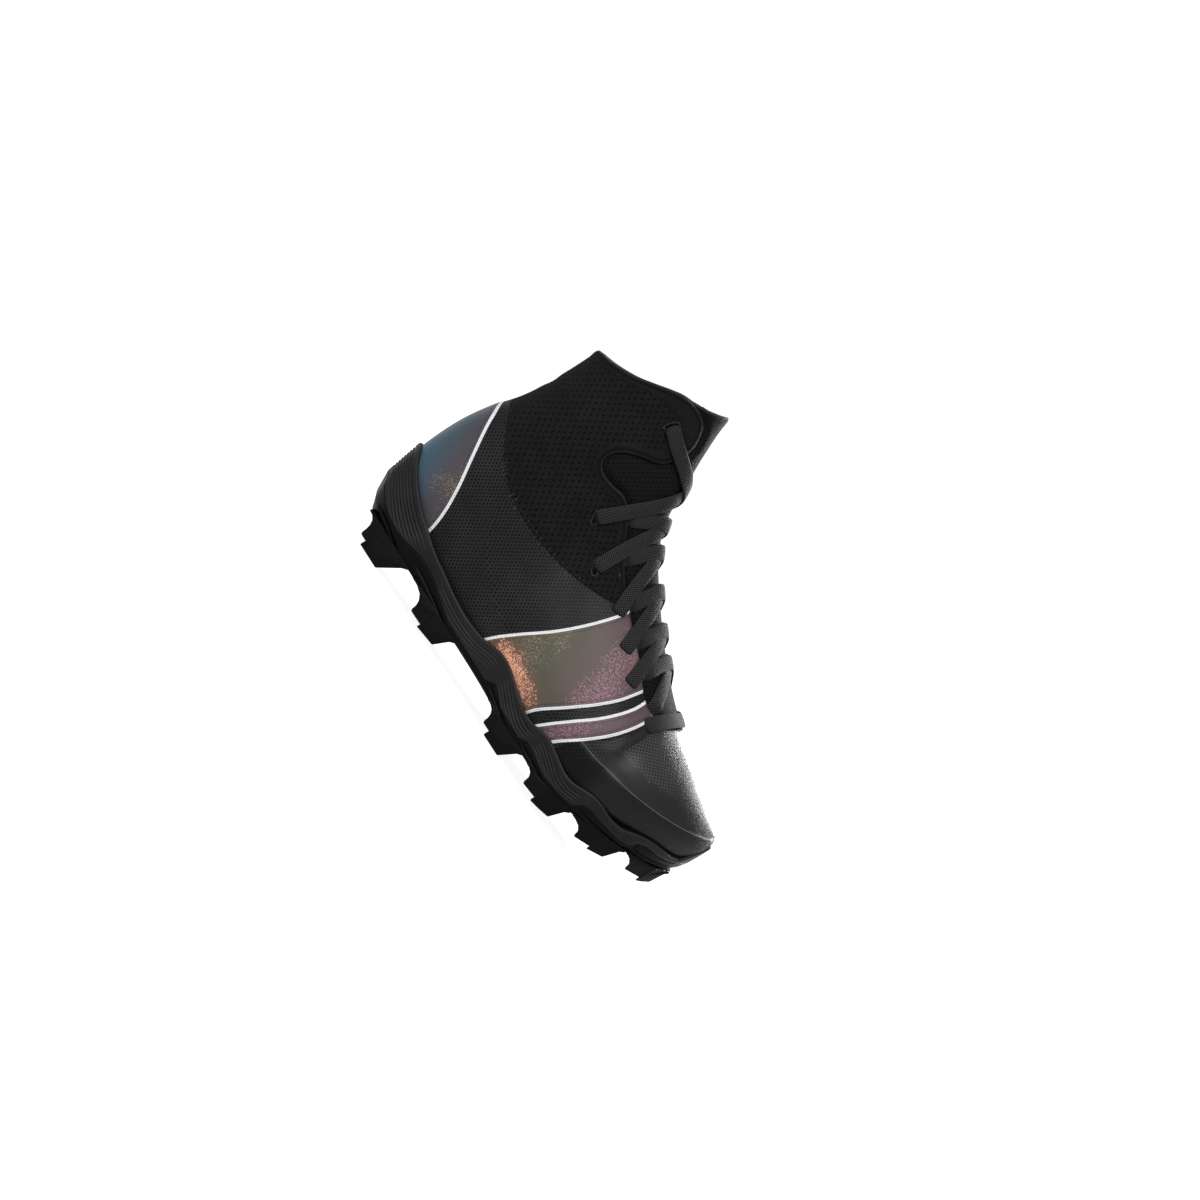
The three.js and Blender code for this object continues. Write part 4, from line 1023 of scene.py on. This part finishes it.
class CLEAT_OT_upper(bpy.types.Operator):
    """Build the upper: one skin with its openings, bindings, panels and soft creases"""

    bl_idname = "cleat.upper"
    bl_label = "Upper"

    def execute(self, context):
        colours, sizes = context.scene.cleat_colours, context.scene.cleat_sizes
        row, angle, flat, kept, spots, edge = cut_grid(
            300, 181, lambda seen: -into(seen, opening)[0]
        )
        facts = upper_facts(spots, edge)
        bm, seed, points = skin_mesh(row, angle, kept, upper_relief(spots, facts))
        height = (points[..., 2] - foot_bed(points[..., 0])).reshape(-1)
        low, front = height < HIDDEN_BELOW, row.reshape(-1) < 0.01
        gone = [face for face in bm.faces if all(low[vert[seed]] for vert in face.verts)]
        bmesh.ops.delete(bm, geom=gone, context="FACES")
        bmesh.ops.remove_doubles(bm, verts=bm.verts[:], dist=2e-5)
        tip = [side for side in bm.edges
               if side.is_boundary and all(front[vert[seed]] for vert in side.verts)]
        bmesh.ops.holes_fill(bm, edges=tip, sides=0)
        upper = finish_mesh(bm, "upper_shell", seed, facts, flat, placed([[200, 0, 60]])[0])
        upper.data.materials.append(upper_finish(colours))
        upper.data.materials.append(lining_finish())
        thicken(upper, sizes.wall, 1)
        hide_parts("upper")
        return {"FINISHED"}


class CLEAT_OT_tongue(bpy.types.Operator):
    """Build the padded tongue, which swells where the throat and the keyholes are open"""

    bl_idname = "cleat.tongue"
    bl_label = "Tongue"

    def execute(self, context):
        colours, sizes = context.scene.cleat_colours, context.scene.cleat_sizes
        outline = np.concatenate([rounded(tongue_outline[:6]), tongue_outline[6:10],
                                  rounded(tongue_outline[10:])])
        row, angle, flat, kept, spots, brim = cut_grid(
            360, 221, lambda seen: into(seen, outline)[0]
        )
        freedom = into(spots, opening)[0]
        near = np.clip(1 - brim / 2.4, 0, 1)
        grow = -2.75 + 2.6 * smooth(0.3, 4.6, freedom) - 1.1 * (1 - np.sqrt(1 - near**2))
        bm, seed, _ = skin_mesh(row, angle, kept, grow)
        bmesh.ops.remove_doubles(bm, verts=bm.verts[:], dist=2e-5)
        # The top of the tongue, where its painted rim highlight is laid
        top = np.where(spots[:, 1] > 196, 1.0, 0.0)
        facts = {"brim": brim, "edge": brim, "rim": top}
        tongue = finish_mesh(bm, "tongue_pad", seed, facts, flat, placed([[40, 0, 60]])[0])
        tongue.data.materials.append(tongue_finish(colours))
        tongue.data.materials.append(lining_finish())
        thicken(tongue, sizes.tongue, 1)
        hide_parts("tongue")
        return {"FINISHED"}


def sole_outline():
    """The outline of the sole from above at even steps, and its outward normals."""
    rows = np.array(SOLE_PLAN)
    outer = np.stack([rows[:, 0] * LENGTH, -rows[:, 1] * BALL_WIDTH], -1)
    inner = np.stack([rows[:, 0] * LENGTH, rows[:, 2] * BALL_WIDTH], -1)[1:-1][::-1]
    dense = rounded(np.concatenate([outer, inner]), 24, closed=True)
    dense = np.concatenate([dense, dense[:1]])
    run = run_of(dense)
    even = np.linspace(0, run[-1], SOLE_COUNT, endpoint=False)
    points = np.stack([np.interp(even, run, dense[:, k]) for k in (0, 1)], -1)
    ahead = np.roll(points, -1, axis=0) - np.roll(points, 1, axis=0)
    normals = np.stack([ahead[:, 1], -ahead[:, 0]], -1)
    return points, normals / np.linalg.norm(normals, axis=1, keepdims=True)


def sole_side(x):
    lean, undercut = np.moveaxis(sole_side_curve(np.asarray(x) / LENGTH), -1, 0)
    return lean * CUP_HEIGHT, undercut * CUP_HEIGHT


def undercut_at(down):
    knee, cut = UNDERCUT_KNEE
    return np.where(down <= knee, down / knee * cut, cut + (down - knee) / (1 - knee) * (1 - cut))


class SoleLoops:
    """Closed loops round the sole, laid from the top down, with facts for its material."""

    def __init__(self):
        self.outline, self.normals = sole_outline()
        self.x = self.outline[:, 0]
        # edge gathers the painted highlight of each loop, line its painted shade
        self.loops, self.edge, self.line = [], [], []

    def at(self, height, inset):
        flat = self.outline - self.normals * np.broadcast_to(inset, self.x.shape)[:, None]
        return np.column_stack([flat, np.broadcast_to(height, self.x.shape)])

    # The third value lightens a loop as a painted highlight on a rounded edge; the fourth darkens
    # it as painted shade in grooves and lines
    def add(self, height, inset, edge_highlight=0.0, groove_shade=0.0):
        self.loops.append(self.at(height, inset))
        self.edge.append(np.broadcast_to(edge_highlight, self.x.shape))
        self.line.append(np.broadcast_to(groove_shade, self.x.shape))

    def mesh(self):
        """A bmesh over the loops, with their seam merged, its numbers and its facts."""
        def closed(rows):
            return np.stack([np.concatenate([row, row[:1]]) for row in rows])

        points = closed(self.loops)
        bm, seed = lay_grid(*points.shape[:2], points)
        bmesh.ops.remove_doubles(bm, verts=bm.verts[:], dist=1e-6)
        facts = {"edge": closed(self.edge), "line": closed(self.line)}
        facts["rib"] = np.zeros_like(facts["edge"])
        return bm, seed, facts


def grooves(x, z, top):
    """Depth of the fine moulded grooves in the side of the midsole."""
    drop = top - z
    heel = smooth(64, 36, x) * smooth(3.2, 5.0, drop) * smooth(24.0, 20.0, drop)
    depth = heel * (0.5 + 0.5 * np.cos(2 * math.pi * drop / 2.3))
    for start, end, slope in ((80, 140, 0.02), (151, 187, 0.16), (193, 233, 0.14), (252, 272, 0.0)):
        mask = smooth(start - 3, start + 5, x) * smooth(end + 4, end - 6, x)
        mask = mask * smooth(2.6, 4.5, drop) * smooth(13.5, 11.0, drop)
        wave = 0.5 + 0.5 * np.cos(2 * math.pi * (drop - slope * (x - start)) / 2.1)
        depth = depth + mask * wave * (0.45 if start == 80 else 0.75)
    return depth


# Depth of the moulded lines, and how much painted shade darkens them
def moulded_lines(x, z):
    spots = np.column_stack([x, z])
    depth, groove_shade = np.zeros(len(x)), np.zeros(len(x))
    for line, deep, width in SOLE_LINES:
        gap, _ = to_line(spots, rounded(line))
        near = np.exp(-((gap / width) ** 2))
        depth = np.maximum(depth, deep * near)
        groove_shade = np.maximum(groove_shade, near)
    return depth, groove_shade


class CLEAT_OT_midsole(bpy.types.Operator):
    """Build the midsole: a wavy cup with a rounded lip, a grooved side and a toe bumper"""

    bl_idname = "cleat.midsole"
    bl_label = "Midsole"

    def execute(self, context):
        colours = context.scene.cleat_colours
        ring = SoleLoops()
        x = ring.x
        top, foot = rim(x), plate_edge(x)
        lean, _ = sole_side(x)
        shell = bpy.data.objects["upper_shell"].data
        tree = BVHTree.FromPolygons(
            [v.co for v in shell.vertices], [p.vertices[:] for p in shell.polygons]
        )
        starts = placed(ring.at(top - 0.4, 0.0))
        reach = np.full(len(x), 4.0)
        for n, start in enumerate(starts):
            inward = Vector((*-ring.normals[n], 0))
            hit, _, _, distance = tree.ray_cast(Vector(start), inward, 0.03)
            if hit is not None:
                reach[n] = distance * 1000
        for _ in range(3):
            reach = (np.roll(reach, 1) + 2 * reach + np.roll(reach, -1)) / 4
        reach = np.maximum(reach, LIP + 0.6)
        ring.add(top - 2.2, reach + 1.0)
        ring.add(top - 0.5, reach + 0.6)
        ring.add(top - 0.25, reach - 0.3)
        ring.add(top - 0.05, np.maximum(reach - 1.5, LIP + 0.3))
        # The rounded lip, lightened at its middle as a painted highlight where it catches the light
        for step in range(7):
            turn = step / 6 * math.pi / 2
            ring.add(top - LIP * (1 - math.cos(turn)), LIP * (1 - math.sin(turn)),
                     0.8 * math.sin(2 * turn))
        steps = 54
        for step in range(1, steps + 1):
            share = step / steps
            height = top - LIP + (foot - top + LIP) * share
            bulge = 0.5 * math.sin(math.pi * share)
            cut, groove_shade = moulded_lines(x, height)
            depth = grooves(x, height, top) * smooth(0.0, 3.0, height - foot)
            # The side, darkened in its grooves and lines as painted shade
            ring.add(height, lean * share - bulge * 0.4 + 0.75 * depth + cut * 0.5, 0.0,
                     np.maximum(groove_shade * 0.6, depth * 0.35))
        # The parting line at the foot, darkened as painted shade of the gap
        ring.add(foot - 0.05, lean + 1.6, 0.0, 1.0)
        bm, seed, facts = ring.mesh()
        piece = finish_mesh(bm, "midsole_cup", seed, facts)
        orient(piece)
        piece.data.materials.append(sole_finish("midsole_foam", colours, 0.5, 1.35))
        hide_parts("midsole")
        return {"FINISHED"}


def orient(piece):
    """Turns the faces of a ring of the sole so that its outer side faces out."""
    mesh = piece.data
    mesh.update()
    best = min(mesh.polygons, key=lambda p: p.center.y)
    if best.normal.y > 0:
        mesh.flip_normals()


def sole_half(x, side):
    return plan_curve(np.asarray(x) / LENGTH)[..., 0 if side < 0 else 1] * BALL_WIDTH


def add_blade(bm, profile, side, thickness, soften):
    """A tapered blade under the plate, from its side-view outline, with softened edges."""
    profile = np.array(profile, float)
    raised = np.clip((profile[:, 1] - tread(profile[:, 0])) / STUD_LENGTH, 0, 1)
    outer = side * (sole_half(profile[:, 0], side) - STUD_EDGE - STUD_TAPER * (1 - raised))
    inner = outer - side * (thickness - 2 * STUD_TAPER * (1 - raised))
    place = [placed(np.column_stack([profile[:, 0], y, profile[:, 1]])) for y in (outer, inner)]
    near = [bm.verts.new(co) for co in place[0]]
    face = bm.faces.new(near)
    made = bmesh.ops.extrude_face_region(bm, geom=[face])["geom"]
    far = [item for item in made if isinstance(item, bmesh.types.BMVert)]
    for vert in far:
        index = min(range(len(near)), key=lambda n: (near[n].co - vert.co).length)
        vert.co = place[1][index]
    verts = set(near) | set(far)
    faces = {f for v in verts for f in v.link_faces if all(w in verts for w in f.verts)}
    bmesh.ops.recalc_face_normals(bm, faces=list(faces))
    for f in faces:
        f.normal_update()
    edges = {e for f in faces for e in f.edges if e.calc_face_angle(0) > 0.45}
    bmesh.ops.bevel(
        bm, geom=list(edges), offset=soften / 1000, offset_type="OFFSET", segments=3,
        profile=0.5, affect="EDGES", clamp_overlap=True, material=-1,
    )


def add_stud(bm, row, side):
    rear, front, wing_start, wing_end, tip_end, wing_height, tip_rear, tip_front = row

    def spot(share, height):
        x = (rear + (front - rear) * share) * LENGTH
        return [x, float(tread(x)) + height * STUD_LENGTH]

    def buried(share, deep=1.6):
        x = (rear + (front - rear) * share) * LENGTH
        return [x, float(underside(x)) + deep]

    start = spot(0, 1)
    start[1] = float(underside(start[0]))
    scoop_end = np.array(spot(wing_start, wing_height + 0.12))
    corner = np.array([scoop_end[0], start[1]])
    wing = [buried(-0.03), [start[0] - 1.4, start[1]]]
    for share in (0.15, 0.4, 0.65, 0.85, 1.0):
        a = np.array(start) * (1 - share) + corner * share
        b = corner * (1 - share) + scoop_end * share
        wing.append(list(a * (1 - share) + b * share))
    wing += [spot(wing_start + 0.02, wing_height), spot(wing_end + 0.08, wing_height),
             buried(wing_end + 0.08)]
    base = buried(1, 0.0)
    knee = np.array(spot(tip_end, tip_front)) * 0.15 + np.array(base) * 0.85
    block = [
        buried(wing_end), spot(wing_end + 0.01, 0.5), spot(wing_end, tip_rear),
        spot((wing_end + tip_end) / 2, (tip_rear + tip_front) / 2), spot(tip_end, tip_front),
        list(knee), [base[0] + 1.5, base[1] + 0.1], buried(1.03),
    ]
    add_blade(bm, wing, side, WING_THICKNESS, 0.55)
    add_blade(bm, block, side, STUD_THICKNESS, 0.7)


class CLEAT_OT_outsole(bpy.types.Operator):
    """Build the moulded plate with its twelve bladed studs"""

    bl_idname = "cleat.outsole"
    bl_label = "Outsole"

    def execute(self, context):
        colours = context.scene.cleat_colours
        ring = SoleLoops()
        x = ring.x
        low, high = underside(x), plate_edge(x) - CLEARANCE
        lean, undercut = sole_side(x)
        # The parting gap at the plate's top, darkened as painted shade
        ring.add(high - 0.5, lean + 2.2, 0.0, 1.0)
        ring.add(high, lean + 0.7, 0.0, 0.5)
        steps = 18
        for step in range(steps + 1):
            share = step / steps
            height = high - 0.35 + (low + 1.0 - high + 0.35) * share
            down = (high - height) / np.maximum(high - low, 0.1)
            cut, groove_shade = moulded_lines(x, height)
            # The plate's top loop is lightened as a painted highlight
            edge_highlight = 0.7 if step == 0 else 0.0
            ring.add(height, lean + undercut * undercut_at(down) + cut, edge_highlight, groove_shade)
        # Painted highlight along the plate's lower edge
        ring.add(low + 0.3, lean + undercut + 0.35, 0.4)
        ring.add(low, lean + undercut + 1.1)
        ring.add(low, lean + undercut + 4.0)
        ring.add(low + 0.5, lean + undercut + 4.8)
        bm, seed, facts = ring.mesh()
        last = len(ring.loops) - 1
        by_place = {}
        for vert in bm.verts:
            row, column = divmod(vert[seed], SOLE_COUNT + 1)
            if row == last:
                by_place[column % SOLE_COUNT] = vert
        sides = []
        half = SOLE_COUNT // 2
        for start, end in ((1, half - 1), (half + 1, SOLE_COUNT - 1)):
            sides += [bm.edges.get((by_place[n], by_place[n + 1])) for n in range(start, end)]
        bmesh.ops.bridge_loops(bm, edges=sides)
        bottom = set(by_place.values())
        rest = [e for e in bm.edges if e.is_boundary and all(v in bottom for v in e.verts)]
        bmesh.ops.holes_fill(bm, edges=rest, sides=8)
        plate = finish_mesh(bm, "outsole_plate", seed, facts)
        orient(plate)
        plate.data.materials.append(sole_finish("plate_rubber", colours, 0.42, 0.5))
        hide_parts("outsole")

        bm = bmesh.new()
        for row in STUD_ROWS:
            for side in (-1, 1):
                add_stud(bm, row, side)
        studs = finish_mesh(bm, "outsole_studs")
        layer = studs.data.attributes.new("rib", "FLOAT", "POINT")
        heights = np.array([v.co.z * 1000 for v in studs.data.vertices])
        places = np.array([v.co.x * 1000 + MIDDLE[0] for v in studs.data.vertices])
        above = heights - tread(places)
        layer.data.foreach_set("value", (smooth(1.0, 3.0, above) * 0.8).astype(np.float32))
        for name in ("edge", "line"):
            studs.data.attributes.new(name, "FLOAT", "POINT")
        studs.data.materials.append(plate.data.materials[0])
        for polygon in studs.data.polygons:
            polygon.use_smooth = polygon.area < 2.5e-6
        return {"FINISHED"}


class CLEAT_OT_insole(bpy.types.Operator):
    """Build the cupped insole on the floor of the shoe"""

    bl_idname = "cleat.insole"
    bl_label = "Insole"

    def execute(self, context):
        rows, columns = 120, 41
        start, end = INSOLE_SPAN
        x = np.linspace(start, end, rows)[:, None] * LENGTH
        t = np.linspace(-1, 1, columns)[None, :]
        half = [np.maximum(sole_half(x, side) - 7.5, 3.0) for side in (-1, 1)]
        ends = smooth(start * LENGTH - 2, 0.12 * LENGTH, x) ** 0.5
        ends = ends * smooth(end * LENGTH + 2, 0.9 * LENGTH, x) ** 0.5
        y = np.where(t < 0, t * half[0], t * half[1]) * np.maximum(ends, 0.15)
        z = foot_bed(x) + (6.0 + 2.6 * np.abs(t) ** 5 + 2.4 * smooth(20, 3, x))
        points = np.stack(np.broadcast_arrays(x, y, z), -1)
        bm, seed = lay_grid(rows, columns, points)
        insole = finish_mesh(bm, "insole_bed", seed, {}, points[..., :2])
        if insole.data.polygons[0].normal.z < 0:
            insole.data.flip_normals()
        insole.data.materials.append(lining_finish())
        thicken(insole, 0.0035)
        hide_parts("insole")
        return {"FINISHED"}


def spline(spots, shares):
    """Points of the smooth path through a few spots, at shares of its run."""
    spots = np.array(spots, float)
    position = np.asarray(shares) * (len(spots) - 1)
    index = np.clip(position.astype(int), 0, len(spots) - 2)
    t = (position - index)[:, None]
    a, b = spots[np.maximum(index - 1, 0)], spots[index]
    c = spots[index + 1]
    d = spots[np.minimum(index + 2, len(spots) - 1)]
    v0, v1 = (c - a) / 2, (d - b) / 2
    return (2 * b - 2 * c + v0 + v1) * t**3 + (3 * c - 3 * b - 2 * v0 - v1) * t**2 + v0 * t + b


def spot_in_side_view(x, z):
    """Row and angle of the outer skin that the side view shows at a point."""
    rows, angles = np.linspace(0, LAST_ROW, 241), np.linspace(0.02, math.pi - 0.02, 121)
    for _ in range(3):
        grid_row, grid_angle = np.meshgrid(rows, angles, indexing="ij")
        points = surface(grid_row, grid_angle)
        gap = np.hypot(points[..., 0] - x, points[..., 2] - z)
        n, m = np.unravel_index(np.argmin(gap), gap.shape)
        row_step, angle_step = rows[1] - rows[0], angles[1] - angles[0]
        rows = np.linspace(rows[n] - row_step, rows[n] + row_step, 21)
        angles = np.linspace(angles[m] - angle_step, angles[m] + angle_step, 21)
    return np.array([grid_row[n, m], grid_angle[n, m]])


def ridge_row(place):
    rows = np.linspace(0, LAST_ROW, 2401)
    tops = surface(rows, 0.0)[:, 0]
    return float(rows[np.argmin(np.abs(tops - place * LENGTH))])


def lace_grid(bm, path, lift, width, thickness):
    """Lays a flat lace with rounded edges along a path of rows and angles of the skin."""
    around = LACE_AROUND
    centres = surface(path[:, 0], path[:, 1])
    normals = skin_normal(path[:, 0], path[:, 1])
    centres = centres + normals * (lift + thickness / 2)[:, None]
    run = np.gradient(centres, axis=0)
    run /= np.linalg.norm(run, axis=1, keepdims=True)
    side = np.cross(run, normals)
    side /= np.linalg.norm(side, axis=1, keepdims=True)
    up = np.cross(side, run)
    length = run_of(centres)
    turn = np.linspace(0, 2 * math.pi, around)
    across = np.sign(np.cos(turn)) * np.abs(np.cos(turn)) ** 0.45 * width / 2
    high = np.sign(np.sin(turn)) * np.abs(np.sin(turn)) ** 0.6 * thickness / 2
    high = high - 0.25 * (across / (width / 2)) ** 2
    spread = np.broadcast_arrays(across[None, :] + width, length[:, None])
    to_end = np.minimum(length, length[-1] - length)
    tip = np.sqrt(np.clip(1 - np.clip(1 - (to_end + 0.5) / 4.0, 0, 1) ** 2, 0.1, 1))
    points = centres[:, None] + side[:, None] * (tip[:, None] * across)[..., None]
    points = points + up[:, None] * high[:, None]
    made = bmesh.ops.create_grid(
        bm, x_segments=around - 1, y_segments=len(centres) - 1, size=1.0
    )["verts"]
    flat_layer = bm.loops.layers.uv["skin"]
    places, number = placed(points), {}
    for vert in made:
        column = round((vert.co.x + 1) / 2 * (around - 1))
        row = round((vert.co.y + 1) / 2 * (len(centres) - 1))
        number[vert] = (row, column)
    for vert, (row, column) in number.items():
        vert.co = places[row, column]
        for loop in vert.link_loops:
            loop[flat_layer].uv = (spread[0][row, column], spread[1][row, column])
    ends = [[v for v, (row, _) in number.items() if row == wanted]
            for wanted in (0, len(centres) - 1)]
    bmesh.ops.remove_doubles(bm, verts=made, dist=1e-6)
    for end in ends:
        loose = [e for v in end if v.is_valid for e in v.link_edges if e.is_boundary]
        bmesh.ops.holes_fill(bm, edges=list(set(loose)), sides=0)


class CLEAT_OT_laces(bpy.types.Operator):
    """Lace the shoe: a bar at the toe and six crossings that run through the eyelets"""

    bl_idname = "cleat.laces"
    bl_label = "Laces"

    def execute(self, context):
        colours, sizes = context.scene.cleat_colours, context.scene.cleat_sizes
        width, thickness = sizes.lace_width * 1000, sizes.lace_thickness * 1000
        eyelets = [spot_in_side_view(*side_view(row[:2])) for row in EYELETS]
        mirrored = [spot * [1, -1] for spot in eyelets]
        bm = bmesh.new()
        bm.loops.layers.uv.new("skin")

        def strand(spots, raise_by, near_hidden, far_hidden, on_top):
            shares = np.linspace(0, 1, 64)
            path = spline(spots, shares)
            points = surface(path[:, 0], path[:, 1])
            lengths = run_of(points)
            run = np.linspace(0, lengths[-1], LACE_STEPS)
            even = np.interp(run, lengths, shares)
            path = spline(spots, even)
            free = into(side_spots(path[:, 0], path[:, 1]), opening)[0]
            rest = 0.35 + 0.45 * (1 - smooth(-4.0, 2.0, free)) + (0.5 if on_top else 0.0)
            nearness = 1 - 2 * np.abs(even - 0.5) / 0.42
            lift = rest + raise_by * smooth(0, 1, nearness)
            keep = np.ones(len(run), bool)
            for hidden, distance, half in (
                (near_hidden, run, even < 0.5), (far_hidden, run[-1] - run, even >= 0.5),
            ):
                if hidden:
                    dive = smooth(4.5, 0.5, free) * half
                    lift = lift * (1 - dive) - 3.6 * dive
                    keep &= ~(half & (free < -5))
                else:
                    dive = smooth(1.5, 0.0, distance)
                    lift = lift * (1 - dive) - 2.2 * dive
            lace_grid(bm, path[keep], lift[keep], width, thickness)

        bar = np.array([ridge_row(BAR_PLACE), 0.0])
        strand([eyelets[0], bar, mirrored[0]], 0.3, False, False, False)
        for n, place in enumerate(CROSSING_PLACES):
            middle = np.array([ridge_row(place), 0.0])
            first, final = n == 0, n == len(CROSSING_PLACES) - 1
            strand([eyelets[n], middle, mirrored[n + 1]], 0.0, first, not final, final)
            strand([mirrored[n], middle, eyelets[n + 1]], 1.5, first, not final, final)
        bmesh.ops.recalc_face_normals(bm, faces=bm.faces[:])
        laces = finish_mesh(bm, "laces")
        laces.data.materials.append(lace_finish(colours))
        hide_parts("lace_bar", *[f"lace_cross_{n}" for n in range(1, 7)])
        return {"FINISHED"}


def area_light(name, place, target, size, energy):
    data = bpy.data.lights.new(name, "AREA")
    data.shape = "RECTANGLE"
    data.size, data.size_y = size
    data.energy = energy
    light = bpy.data.objects.new(name, data)
    light.location = place
    light.rotation_euler = (Vector(target) - Vector(place)).to_track_quat("-Z", "Y").to_euler()
    bpy.context.scene.collection.objects.link(light)


class CLEAT_OT_stage(bpy.types.Operator):
    """Set the pale floor, the soft lights and the rolled camera"""

    bl_idname = "cleat.stage"
    bl_label = "Stage"

    def execute(self, context):
        scene, stage = context.scene, context.scene.cleat_stage
        bm = bmesh.new()
        bmesh.ops.create_grid(bm, x_segments=8, y_segments=8, size=30.0)
        mesh = bpy.data.meshes.new("floor")
        bm.to_mesh(mesh)
        bm.free()
        floor = bpy.data.objects.new("floor", mesh)
        scene.collection.objects.link(floor)
        f = Finish("pale_floor", 0.95, 0.0)
        f.put("Base Color", (0.1, 0.1, 0.1, 1))
        f.put("Emission Color", (1, 1, 1, 1))
        f.put("Emission Strength", 0.94)
        mesh.materials.append(f.material)

        world = bpy.data.worlds.new("pale_room")
        scene.world = world
        world.use_nodes = True
        back = world.node_tree.nodes["Background"]
        back.inputs[0].default_value = (1, 1, 1, 1)
        back.inputs[1].default_value = stage.sky
        scene.view_settings.view_transform = "Standard"

        for light in LIGHTS:
            area_light(*light)

        camera = bpy.data.objects.new("camera", bpy.data.cameras.new("camera"))
        scene.collection.objects.link(camera)
        scene.camera = camera
        camera.data.lens = stage.lens
        distance = stage.framed * stage.lens / camera.data.sensor_width
        centre = Vector(placed([[140.66, 0, 100.65]])[0])
        back_way = Vector((0, -math.cos(stage.elevation), math.sin(stage.elevation)))
        level = (-back_way).to_track_quat("-Z", "Y").to_matrix()
        turned = level @ Matrix.Rotation(stage.roll, 3, "Z")
        camera.matrix_world = Matrix.Translation(centre + back_way * distance) @ turned.to_4x4()
        camera.data.clip_end = 100
        return {"FINISHED"}


class CLEAT_PT_panel(bpy.types.Panel):
    """Sidebar panel with the builders and their settings"""

    bl_idname = "CLEAT_PT_panel"
    bl_label = "Cleat"
    bl_space_type = "VIEW_3D"
    bl_region_type = "UI"
    bl_category = "Cleat"

    def draw(self, context):
        for group in ("cleat_colours", "cleat_sizes", "cleat_stage"):
            settings = getattr(context.scene, group)
            for name in settings.__annotations__:
                self.layout.prop(settings, name)
        for operator in OPERATORS:
            self.layout.operator(operator.bl_idname)


OPERATORS = (
    CLEAT_OT_upper, CLEAT_OT_tongue, CLEAT_OT_insole, CLEAT_OT_midsole, CLEAT_OT_outsole,
    CLEAT_OT_laces, CLEAT_OT_stage,
)
CLASSES = (CleatColours, CleatSizes, StageSettings, *OPERATORS, CLEAT_PT_panel)


def register():
    for cls in CLASSES:
        bpy.utils.register_class(cls)
    bpy.types.Scene.cleat_colours = PointerProperty(type=CleatColours)
    bpy.types.Scene.cleat_sizes = PointerProperty(type=CleatSizes)
    bpy.types.Scene.cleat_stage = PointerProperty(type=StageSettings)


def unregister():
    for group in ("cleat_colours", "cleat_sizes", "cleat_stage"):
        delattr(bpy.types.Scene, group)
    for cls in reversed(CLASSES):
        bpy.utils.unregister_class(cls)


def main():
    register()
    bpy.ops.cleat.upper()
    bpy.ops.cleat.tongue()
    bpy.ops.cleat.insole()
    bpy.ops.cleat.midsole()
    bpy.ops.cleat.outsole()
    bpy.ops.cleat.laces()
    bpy.ops.cleat.stage()


if __name__ == "__main__":
    main()
